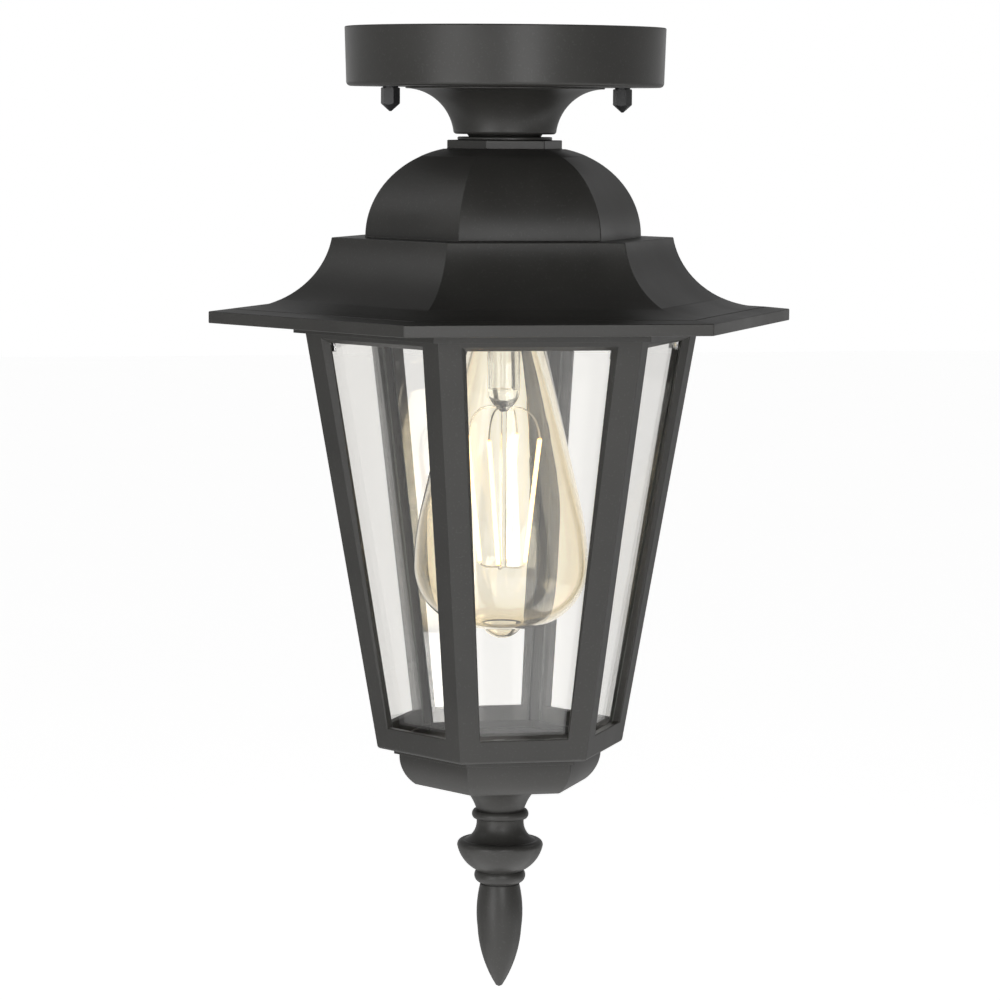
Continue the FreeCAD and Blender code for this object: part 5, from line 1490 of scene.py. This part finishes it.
@dataclass
class Panes(Assembly):
    """Six tapered panes behind the windows."""

    shape: CageShape = field(default_factory=CageShape)
    side: float = 0.05
    top_clearance: float = 1.0
    foot_clearance: float = 0.3

    def build(self) -> list[str]:
        """Makes the panes.

        Returns:
            Names of the made pieces.
        """
        shape = self.shape
        front, back = shape.wall + shape.gap, shape.wall + shape.gap + shape.glass
        room = (shape.rib_width / 2.0 + self.side) * CORNER_STRETCH
        drop = shape.height - shape.floor_raise - self.foot_clearance
        top = (self.top_clearance + back * shape.sine) * shape.slant
        foot = (drop + front * shape.sine) * shape.slant
        half_top = shape.inset(self.top_clearance, back) * HALF_FACE - room
        half_foot = shape.inset(drop, back) * HALF_FACE - room
        corners = np.array([[-half_foot, foot], [half_foot, foot], [half_top, top], [-half_top, top]])
        outer, inner = shape.on_face(corners, front), shape.on_face(corners, back)
        middle_out = outer.mean(axis=0, keepdims=True).repeat(4, axis=0)
        middle_in = inner.mean(axis=0, keepdims=True).repeat(4, axis=0)
        slab = np.stack([middle_out, outer, inner, middle_in])
        names = []
        for number in range(FACES):
            node = "glass_pane_%d" % (number + 1)
            place = turned(slab.reshape(-1, 3), FACE_TURN * number).reshape(slab.shape)
            pane = Shell().add(place).piece(node + "_ground")
            # The roundings take material 1, the dark grey painted shade of the ground edges.
            soften(pane, 0.15, 2, 40.0).modifiers["rounded_edges"].material = 1
            settle(pane, Body.CAGE, "pane_glass", self.finishes.pane, node)
            self.dress_edges_with_painted_shade(pane, FACE_TURN * number)
            names.append(pane.name)
        return names

    def dress_edges_with_painted_shade(self, pane: Piece, angle: float) -> None:
        """Gives the ground edges their own finish, a dark grey that is painted shade for the shadow gap along
        the panes' edges.

        A face belongs to the edges where its normal, times the normal of the pane, is near zero.

        Args:
            pane: the pane.
            angle: turn of the pane about the axis.
        """
        faces = pane.data.polygons
        normals = np.empty(len(faces) * 3)
        faces.foreach_get("normal", normals)
        out = turned(np.array([0.0, -self.shape.cosine, -self.shape.sine]), angle)
        faces.foreach_set("material_index", (np.abs(normals.reshape(-1, 3) @ out) < 0.5).astype(np.int32))
        pane.data.materials.append(self.finishes.ground_edge_and_painted_shade)


@dataclass
class PaneClips(Assembly):
    """Six bent spring clips behind the panes, one over each post."""

    shape: CageShape = field(default_factory=CageShape)
    depth: float = 5.8
    thickness: float = 0.6
    start: float = 1.6
    height: float = 5.0
    span: float = 11.0

    def build(self) -> list[str]:
        """Makes the clips.

        At a distance from the post's middle plane, a clip lies nearer to the axis than its
        bend by that distance times the tangent of 30 degrees.

        Returns:
            Names of the made pieces.
        """
        side = np.array([-0.5, -0.06, 0.0, 0.06, 0.5]) * self.span
        low, back = self.start + self.height, self.depth + self.thickness
        section = ((self.start, self.depth), (low, self.depth), (low, back), (self.start, back))
        fall = np.abs(side) * HALF_FACE
        strip = np.stack([np.stack([self.shape.inset(drop, depth) * CORNER_STRETCH - fall, side,
                                    np.full(len(side), self.shape.top - drop)], axis=1)
                          for drop, depth in section], axis=1)
        ends = strip[[0, -1]].mean(axis=1, keepdims=True).repeat(len(section), axis=1)
        clip = Shell().add(np.concatenate([ends[:1], strip, ends[1:]]))
        clips = clip.repeated(FACES).piece("pane_clips_bent")
        settle(soften(clips, 0.15), Body.CAGE, "spring_steel", self.finishes.spring, "pane_clips")
        return [clips.name]


# ---------------------------------------------------------------------------------------------
# Cup and finial
# ---------------------------------------------------------------------------------------------
@dataclass
class BottomCup(Assembly):
    """Six-sided cup with quarter-round sides under the cage."""

    top: float = -273.9
    flats: float = 68.2
    foot_flats: float = 57.2
    curve: float = 14.3
    straight: float = 0.9
    height: float = 12.1
    wall: float = 2.5
    inner_offset: float = 0.8
    hole: float = 5.1

    def build(self) -> list[str]:
        """Makes the cup.

        Returns:
            Names of the made pieces.
        """
        shape = (Profile(self.flats / 2.0, 0.0)
                 .line(self.flats / 2.0 - self.wall, 0.0)
                 .line(self.flats / 2.0 - self.wall, -self.straight)
                 .arc(self.foot_flats / 2.0 - self.inner_offset, -self.height + self.wall,
                      self.curve - self.wall, Turn.RIGHT)
                 .line(self.hole, -self.height + self.wall)
                 .line(self.hole, -self.height)
                 .line(self.foot_flats / 2.0, -self.height)
                 .arc(self.flats / 2.0, -self.straight, self.curve, Turn.LEFT))
        shape.moved(self.top)
        cup = soften(faceted("cup_casting", shape), 0.4, 2, 25.0)
        return [self.cast(cup, Body.FINIAL, "bottom_cup")]


@dataclass
class Finial(Assembly):
    """Turned finial under the cup."""

    top: float = -286.0
    height: float = 79.6
    bore: float = 4.85
    bore_depth: float = 12.6
    disc: float = 14.6
    disc_height: float = 1.8
    flare_height: float = 8.8
    flare_curve: float = 18.0
    neck: float = 9.1
    ring: float = 10.1
    ring_height: float = 3.2
    ring_curve: float = 2.1
    waist: float = 9.0
    waist_height: float = 1.5
    cove: float = 13.6
    cove_height: float = 6.9
    cove_curve: float = 7.5
    bowl: float = 16.4
    rim_height: float = 2.1
    bowl_height: float = 9.6
    bowl_curve: float = 13.8
    stem: float = 9.0
    bead_foot: float = 7.5
    bead_height: float = 5.0
    bead_curve: float = 3.06
    groove: float = 7.1
    groove_height: float = 0.4
    spear_neck: float = 7.5
    spear: float = 8.4
    spear_height: float = 17.1
    spear_long_curve: float = 46.0
    spear_curve: float = 47.6
    tip: float = 1.2

    def outline(self) -> Profile:
        """Half outline from the bore down to the point.

        Returns:
            The outline.
        """
        drops = np.cumsum([self.disc_height, self.flare_height, self.ring_height, self.waist_height,
                           self.cove_height, self.rim_height, self.bowl_height, self.bead_height,
                           self.groove_height, self.spear_height])
        level = [float(-drop) for drop in drops]
        shape = (Profile(0.0, -self.bore_depth)
                 .line(self.bore, -self.bore_depth)
                 .line(self.bore, 0.0)
                 .line(self.disc, 0.0)
                 .line(self.disc, level[0])
                 .arc(self.neck, level[1], self.flare_curve, Turn.LEFT)
                 .line(self.ring, level[1])
                 .arc(self.ring, level[2], self.ring_curve, Turn.RIGHT)
                 .line(self.waist, level[2])
                 .line(self.waist, level[3])
                 .arc(self.cove, level[4], self.cove_curve, Turn.LEFT)
                 .arc(self.bowl, level[5], self.rim_height, Turn.RIGHT)
                 .arc(self.stem, level[6], self.bowl_curve, Turn.RIGHT)
                 .arc(self.bead_foot, level[7], self.bead_curve, Turn.RIGHT)
                 .line(self.groove, level[7])
                 .line(self.groove, level[8])
                 .line(self.spear_neck, level[8])
                 .arc(self.spear, level[9], self.spear_long_curve, Turn.RIGHT)
                 .arc(self.tip, -self.height + self.tip / 2.0, self.spear_curve, Turn.RIGHT)
                 .line(0.0, -self.height))
        return shape.moved(self.top)

    def build(self) -> list[str]:
        """Makes the finial.

        Returns:
            Names of the made pieces.
        """
        spear = soften(lathe("finial_turned", self.outline(), closed=False), 0.3, 2, 35.0)
        return [self.cast(spear, Body.FINIAL, "finial")]


# ---------------------------------------------------------------------------------------------
# Lampholder and lamp
# ---------------------------------------------------------------------------------------------
@dataclass
class Lampholder(Assembly):
    """Cap, shell, base and contacts of the lampholder, with the leads."""

    def build(self) -> list[str]:
        """Dresses the lampholder and its leads.

        Returns:
            Names of the dressed pieces.
        """
        dressed = {"holder_cap": self.finishes.phenolic, "holder_shell": self.finishes.phenolic,
                   "holder_base": self.finishes.ceramic, "screw_shell": self.finishes.brass,
                   "centre_contact": self.finishes.brass, "lead_line": self.finishes.lead_black,
                   "lead_neutral": self.finishes.lead_white, "wire_connectors": self.finishes.connector}
        for node, material in dressed.items():
            coat_node(node, material)
        return list(dressed)


@dataclass
class Lamp(Assembly):
    """Clear amber filament lamp."""

    top: float = -88.3
    length: float = 142.0
    contact_height: float = 1.4
    insulator: float = 9.0
    insulator_height: float = 2.6
    cap: float = 13.05
    cap_height: float = 22.5
    cap_wall: float = 0.5
    cement: float = 0.32
    glass_drop: float = 7.5
    flare_drop: float = 9.0
    thread_pitch: float = 3.6
    thread_depth: float = 0.45
    neck: float = 15.3
    neck_height: float = 2.6
    widest: float = 32.4
    shoulder_curve: float = 98.0
    shoulder_height: float = 21.0
    belly_curve: float = 23.3
    tip_height: float = 4.6
    tip_root: float = 7.6
    glass: float = 0.9
    stem: float = 6.2
    stem_length: float = 24.0
    pinch: float = 2.8
    pinch_height: float = 4.2
    pinch_curve: float = 9.0
    flare_curve: float = 26.0
    rod: float = 1.4
    rod_foot: float = 26.6
    wire: float = 0.35
    filaments: int = 4
    filament: float = 0.85
    filament_length: float = 48.0
    top_reach: float = 14.6
    top_turn: float = -33.0
    foot_reach: float = 8.6
    foot_turn: float = -22.0
    foot_rise: float = 2.0

    @property
    def cap_start(self) -> float:
        """Depth of the cap's top below the lamp's top."""
        return self.contact_height + self.insulator_height

    @property
    def cap_drop(self) -> float:
        """Depth of the cap's foot below the lamp's top."""
        return self.cap_start + self.cap_height

    def envelope(self) -> Profile:
        """Closed section of the blown glass, inside and outside.

        Returns:
            The section.
        """
        floor = -(self.length - self.tip_height)
        widest = floor + self.belly_curve
        reach = math.sqrt(self.shoulder_curve ** 2 - self.shoulder_height ** 2)
        shoulder = self.widest - self.shoulder_curve + reach
        inside = self.cap - self.cap_wall - self.cement
        tip_curve = (self.tip_root ** 2 + self.tip_height ** 2) / 2.0 / self.tip_height
        wall = self.glass
        tip_inside = math.sqrt((tip_curve - wall) ** 2 - (tip_curve - self.tip_height - wall) ** 2)
        shape = (Profile(inside, -(self.cap_start + self.glass_drop))
                 .line(inside - wall, -(self.cap_start + self.glass_drop))
                 .line(inside - wall, -(self.cap_drop + self.neck_height))
                 .line(shoulder - wall, widest + self.shoulder_height)
                 .arc(self.widest - wall, widest, self.shoulder_curve - wall, Turn.RIGHT)
                 .arc(self.widest - self.belly_curve, floor + wall, self.belly_curve - wall, Turn.RIGHT)
                 .line(tip_inside, floor + wall)
                 .arc(0.0, -self.length + wall, tip_curve - wall, Turn.RIGHT)
                 .line(0.0, -self.length)
                 .arc(self.tip_root, floor, tip_curve, Turn.LEFT)
                 .line(self.widest - self.belly_curve, floor)
                 .arc(self.widest, widest, self.belly_curve, Turn.LEFT)
                 .arc(shoulder, widest + self.shoulder_height, self.shoulder_curve, Turn.LEFT)
                 .line(self.neck, -(self.cap_drop + self.neck_height))
                 .line(inside, -(self.cap_drop + self.cement)))
        return shape.moved(self.top)

    def threaded_cap(self) -> Shell:
        """Screw cap with a rolled thread.

        The radius is the mean radius plus half the thread depth times the cosine of a full turn
        for each pitch of height less the angle round the cap, which draws a helix.

        Returns:
            The shell.
        """
        angles = full_ring(96)
        shoulder = self.cap_wall * 3.0
        height = np.linspace(-(self.cap_start + shoulder), -self.cap_drop, 90)
        from_end = np.minimum(height + self.cap_drop, -(self.cap_start + shoulder) - height)
        ease = np.clip(from_end / 2.0, 0.0, 1.0)
        wave = np.cos(2.0 * math.pi * height[:, None] / self.thread_pitch - angles[None, :])
        radius = self.cap - self.thread_depth / 2.0 + self.thread_depth / 2.0 * wave * ease[:, None]
        grid = np.stack([radius * np.cos(angles), radius * np.sin(angles),
                         np.broadcast_to(height[:, None], radius.shape)], axis=-1)
        bore = self.cap - self.cap_wall - self.thread_depth
        inner = swept(np.array([[bore, -self.cap_drop],
                                [bore, -(self.cap_start + shoulder + self.cap_wall)],
                                [self.insulator, -(self.cap_start + self.cap_wall)],
                                [self.insulator, -self.cap_start]]), angles)
        return Shell().add(raised(np.concatenate([grid, inner]), self.top), close_rows=True)

    def stem_outline(self) -> Profile:
        """Half outline of the flared stem, its pinch and its rod.

        Returns:
            The outline.
        """
        flare = self.cap - self.cap_wall - self.cement * 2.0 - self.glass
        start = -(self.cap_start + self.flare_drop)
        end = -(self.cap_drop + self.stem_length)
        foot = -self.length + self.rod_foot
        return (
            Profile(flare - self.rod, start).line(flare, start).line(flare, start - self.rod)
            .arc(self.stem, -self.cap_drop, self.flare_curve, Turn.RIGHT)
            .line(self.stem, end + self.pinch)
            .arc(self.pinch, end - self.pinch_height, self.pinch_curve, Turn.RIGHT)
            .line(self.rod, end - self.pinch_height - self.rod)
            .line(self.rod, foot + self.rod)
            .arc(0.0, foot, self.rod, Turn.RIGHT)
            .line(0.0, end + self.rod)
            .line(self.stem - self.rod, end + self.rod * 2.0)
            .line(self.stem - self.rod, -self.cap_drop)
            .line(flare - self.rod, start - self.rod)
            .moved(self.top))

    def ends(self) -> tuple[np.ndarray, np.ndarray]:
        """Upper and lower ends of the filaments.

        Returns:
            Two arrays of one row for each filament.
        """
        step = 2.0 * math.pi / self.filaments * np.arange(self.filaments)
        foot = self.top - self.length + self.rod_foot + self.foot_rise
        upper, lower = step + math.radians(self.top_turn), step + math.radians(self.foot_turn)
        high = np.stack([self.top_reach * np.sin(upper), -self.top_reach * np.cos(upper),
                         np.full(self.filaments, foot + self.filament_length)], axis=1)
        low = np.stack([self.foot_reach * np.sin(lower), -self.foot_reach * np.cos(lower),
                        np.full(self.filaments, foot)], axis=1)
        return high, low

    def filament_rods(self) -> Shell:
        """Coated rods with rounded ends: the radius falls to nothing as a quarter circle.

        Returns:
            The shell.
        """
        rods = Shell()
        share = np.concatenate([np.linspace(0.0, 0.018, 6), np.linspace(0.03, 0.97, 24),
                                np.linspace(0.982, 1.0, 6)])
        near_end = np.clip(np.minimum(share, 1.0 - share) * self.filament_length / self.filament, 0.0, 1.0)
        radius = self.filament * np.sqrt(np.clip(1.0 - (1.0 - near_end) ** 2, 1e-6, 1.0))
        for high, low in zip(*self.ends()):
            rods.add(tube(low + share[:, None] * (high - low), radius, 20))
        return rods

    def support_wires(self) -> Shell:
        """Thin wires from the stem out to the filaments, as smooth single bends.

        Each wire follows a quadratic curve through its start, a bend point and its end.

        Returns:
            The shell.
        """
        wires = Shell()
        share = np.linspace(0.0, 1.0, 14)[:, None]
        pinch = self.top - (self.cap_drop + self.stem_length + self.pinch_height)
        rod_end = self.top - self.length + self.rod_foot + self.wire * 2.0
        high_ends, low_ends = self.ends()
        for high, low in zip(high_ends, low_ends):
            for end, level, reach, lift in ((high, pinch, self.pinch, 1.6), (low, rod_end, self.rod, -1.0)):
                out = np.array([end[0], end[1], 0.0])
                start = out / np.linalg.norm(out) * reach + np.array([0.0, 0.0, level])
                bend = out * 0.9 + np.array([0.0, 0.0, level + lift])
                path = (1.0 - share) ** 2 * start + 2.0 * share * (1.0 - share) * bend + share ** 2 * end
                wires.add(tube(path, np.full(14, self.wire), 10))
        return wires

    def build(self) -> list[str]:
        """Makes the lamp.

        Returns:
            Names of the made pieces.
        """
        names = []
        bulb = lathe("lamp_bulb_glass", self.envelope(), closed=True, around=160)
        names.append(settle(bulb, Body.LAMP, "amber_glass", self.finishes.amber, "lamp_envelope").name)
        cap = self.threaded_cap().piece("lamp_threaded_cap")
        names.append(settle(cap, Body.LAMP, "nickel", self.finishes.nickel, "lamp_screw_cap").name)
        stem = lathe("lamp_glass_stem", self.stem_outline(), closed=True, around=64)
        names.append(settle(stem, Body.LAMP, "clear_glass", self.finishes.stem, "lamp_stem").name)
        rods = self.filament_rods().piece("lamp_glow_rods")
        names.append(settle(rods, Body.LAMP, "filament", self.finishes.glow, "lamp_filaments").name)
        wires = self.support_wires().piece("lamp_support_wires")
        names.append(settle(wires, Body.LAMP, "nickel", self.finishes.wire, "lamp_supports").name)
        coat_node("lamp_insulator", self.finishes.black_glass)
        coat_node("lamp_contact", self.finishes.brass)
        return names + ["lamp_insulator", "lamp_contact"]


# ---------------------------------------------------------------------------------------------
# Studio
# ---------------------------------------------------------------------------------------------
@dataclass
class Softbox:
    """A soft lamp panel, taller than it is wide.

    Attributes:
        name: name of the lamp.
        place: its place in metres.
        size: its width in metres.
        power: its power in watts.
        aim: the point that it faces.
        tallness: its height for each metre of width.
    """

    name: str
    place: Triple
    size: float
    power: float
    aim: Triple = (0.0, 0.0, -0.17)
    tallness: float = 1.4

    def build(self) -> None:
        """Places the lamp."""
        data = bpy.data.lights.new(self.name, "AREA")
        data.shape = "RECTANGLE"
        data.size = self.size
        data.size_y = self.size * self.tallness
        data.energy = self.power
        lamp = bpy.data.objects.new(self.name, data)
        lamp.location = self.place
        ahead = Vector(self.aim) - Vector(self.place)
        lamp.rotation_euler = ahead.to_track_quat("-Z", "Y").to_euler()
        bpy.context.scene.collection.objects.link(lamp)


@dataclass
class Surround:
    """White surroundings whose light on the lantern changes with height and side.

    Attributes:
        level: strength at the horizon in front, to the right, behind and to the left.
        lifted: strength half way up, in the same order.
        backdrop: sine of the elevation at which metal still sees the white backdrop.
    """

    level: tuple[float, ...] = (1.15, 0.12, 0.45, 0.2)
    lifted: tuple[float, ...] = (0.0, 0.2, 0.4, 0.15)
    backdrop: float = 0.04

    def build(self) -> None:
        """Makes the world.

        Each side's share is the square of the direction's part towards it over the square of
        its level part.  Each height's share falls off evenly towards its neighbours, and
        nothing comes from straight above.
        """
        world = bpy.data.worlds.new("white_surround")
        world.use_nodes = True
        graph = Graph(world.node_tree)
        parts = graph.add("ShaderNodeSeparateXYZ")
        graph.join(graph.add("ShaderNodeTexCoord").outputs["Generated"], parts.inputs["Vector"])
        right, back, up = parts.outputs
        across = graph.maths("ADD", graph.maths("MULTIPLY", right, right),
                             graph.maths("MULTIPLY", back, back))
        low = graph.spread(up, 0.0, 0.5, 1.0, 0.0)
        high = graph.spread(up, 0.5, 1.0, 0.0, 1.0)
        middle = graph.maths("SUBTRACT", graph.maths("SUBTRACT", 1.0, low), high)
        total = 0.0
        sides = ((back, -1.0), (right, 1.0), (back, 1.0), (right, -1.0))
        for (part, sign), level, lifted in zip(sides, self.level, self.lifted):
            towards = graph.maths("MAXIMUM", graph.maths("MULTIPLY", part, sign), 0.0)
            share = graph.maths("DIVIDE", graph.maths("MULTIPLY", towards, towards), across)
            light = graph.maths("ADD", graph.maths("MULTIPLY", low, level),
                                graph.maths("MULTIPLY", middle, lifted))
            total = graph.maths("ADD", total, graph.maths("MULTIPLY", share, light))
        path = graph.add("ShaderNodeLightPath")
        mirrored = graph.maths("MULTIPLY", path.outputs["Is Glossy Ray"],
                               graph.spread(up, self.backdrop, self.backdrop * 2.0, 1.0, 0.0))
        white = graph.maths("MAXIMUM", seen_directly(graph, path), mirrored)
        difference = graph.maths("MULTIPLY", white, graph.maths("SUBTRACT", 1.0, total))
        background = world.node_tree.nodes["Background"]
        graph.join(graph.maths("ADD", total, difference), background.inputs["Strength"])
        background.inputs["Color"].default_value = (1.0, 1.0, 1.0, 1.0)
        bpy.context.scene.world = world


def seen_directly(graph: Graph, path: bpy.types.Node) -> Socket:
    """Mask that is 1 for rays from the camera and rays that passed through glass."""
    return graph.maths("MAXIMUM", path.outputs["Is Camera Ray"], path.outputs["Is Transmission Ray"])


@dataclass
class Floor:
    """Pale floor far below the lantern.

    Attributes:
        height: its height in metres.
        half: half its side in millimetres.
        glow: light added for the camera and through glass, so that it looks white.
        mirrored: share of the glow that metal and glass reflect.
    """

    height: float = -0.72
    half: float = 9000.0
    glow: float = 0.86
    mirrored: float = 0.4

    def build(self) -> None:
        """Makes the floor as a level grid of squares."""
        steps = np.linspace(-self.half, self.half, 13)
        grid = np.stack(np.meshgrid(steps, steps), axis=-1)
        level = np.full((*grid.shape[:2], 1), self.height / MILLIMETRE)
        plane = Shell().add(np.concatenate([grid, level], axis=-1), close_columns=False).piece("studio_floor")
        material, graph, shader = start_material("pale_floor")
        shader.inputs["Roughness"].default_value = 0.9
        grain = graph.noise(graph.add("ShaderNodeTexCoord").outputs["Object"], 3.0, 2.0)
        graph.join(graph.blend(grain, (0.80, 0.80, 0.80), (0.84, 0.84, 0.84)), shader.inputs["Base Color"])
        path = graph.add("ShaderNodeLightPath")
        seen = graph.maths("MAXIMUM", seen_directly(graph, path),
                           graph.maths("MULTIPLY", path.outputs["Is Glossy Ray"], self.mirrored))
        graph.join(graph.maths("MULTIPLY", seen, self.glow), shader.inputs["Emission Strength"])
        shader.inputs["Emission Color"].default_value = (1.0, 1.0, 1.0, 1.0)
        plane.data.materials.append(material)


@dataclass
class Studio:
    """White surroundings, soft lamps, a floor far below and the camera."""

    eye: Triple = (-0.29213, -1.38697, -0.0302)
    ahead: tuple[float, float] = (0.2055, 0.9787)
    pitch: float = 5.946
    roll: float = 0.390
    focal_pixels: float = 3760.0
    picture: float = 1000.0
    sensor: float = 36.0

    def lamps(self) -> None:
        """Soft panels in front, on the floor and high at both sides."""
        Softbox("panel_front_left", (-1.11, -1.00, -0.25), 0.70, 11.0).build()
        Softbox("panel_front", (0.06, -1.25, 0.0), 0.40, 5.6).build()
        Softbox("panel_on_floor", (0.25, -1.15, -0.70), 2.00, 22.0, (0.25, -1.15, 1.0)).build()
        Softbox("panel_high_right", (0.95, 0.30, 0.65), 0.45, 1.8).build()
        Softbox("panel_high_left", (-0.95, 0.20, 0.60), 0.45, 2.5).build()

    def camera(self) -> None:
        """Camera at the photograph's place: a long lens a little above, tipped down and rolled."""
        data = bpy.data.cameras.new("photo_camera")
        data.sensor_width = self.sensor
        data.lens = self.focal_pixels / self.picture * self.sensor
        data.clip_start, data.clip_end = 0.05, 50.0
        tip, roll = math.radians(self.pitch), math.radians(self.roll)
        level = Vector((self.ahead[0], self.ahead[1], 0.0)).normalized()
        forward = level * math.cos(tip) - Vector((0.0, 0.0, math.sin(tip)))
        side = forward.cross(Vector((0.0, 0.0, 1.0))).normalized()
        upright = side.cross(forward)
        right = side * math.cos(roll) + upright * math.sin(roll)
        above = upright * math.cos(roll) - side * math.sin(roll)
        camera = bpy.data.objects.new("photo_camera", data)
        camera.matrix_world = Matrix((right, above, -forward)).transposed().to_4x4()
        camera.location = self.eye
        bpy.context.scene.collection.objects.link(camera)
        bpy.context.scene.camera = camera

    def build(self) -> list[str]:
        """Sets the studio up.

        Returns:
            Names of its parts.
        """
        scene = bpy.context.scene
        scene.view_settings.view_transform = "Standard"
        Surround().build()
        Floor().build()
        self.lamps()
        self.camera()
        return ["world", "floor", "lamps", "camera"]


def main() -> None:
    """Builds the lantern from the ceiling down, then the studio."""
    logging.basicConfig(level=logging.INFO, format="%(name)s: %(message)s")
    finishes = Finishes(Effects())
    assemblies = [CeilingFixings(finishes), Canopy(finishes), CapNut(finishes, Hand.LEFT),
                  CapNut(finishes, Hand.RIGHT), Neck(finishes), Roof(finishes), Cage(finishes),
                  Panes(finishes), PaneClips(finishes), BottomCup(finishes), Finial(finishes),
                  Lampholder(finishes), Lamp(finishes), Studio()]
    for assembly in assemblies:
        for name in assembly.build():
            log.info("%s: %s", type(assembly).__name__, name)


if __name__ == "__main__":
    main()
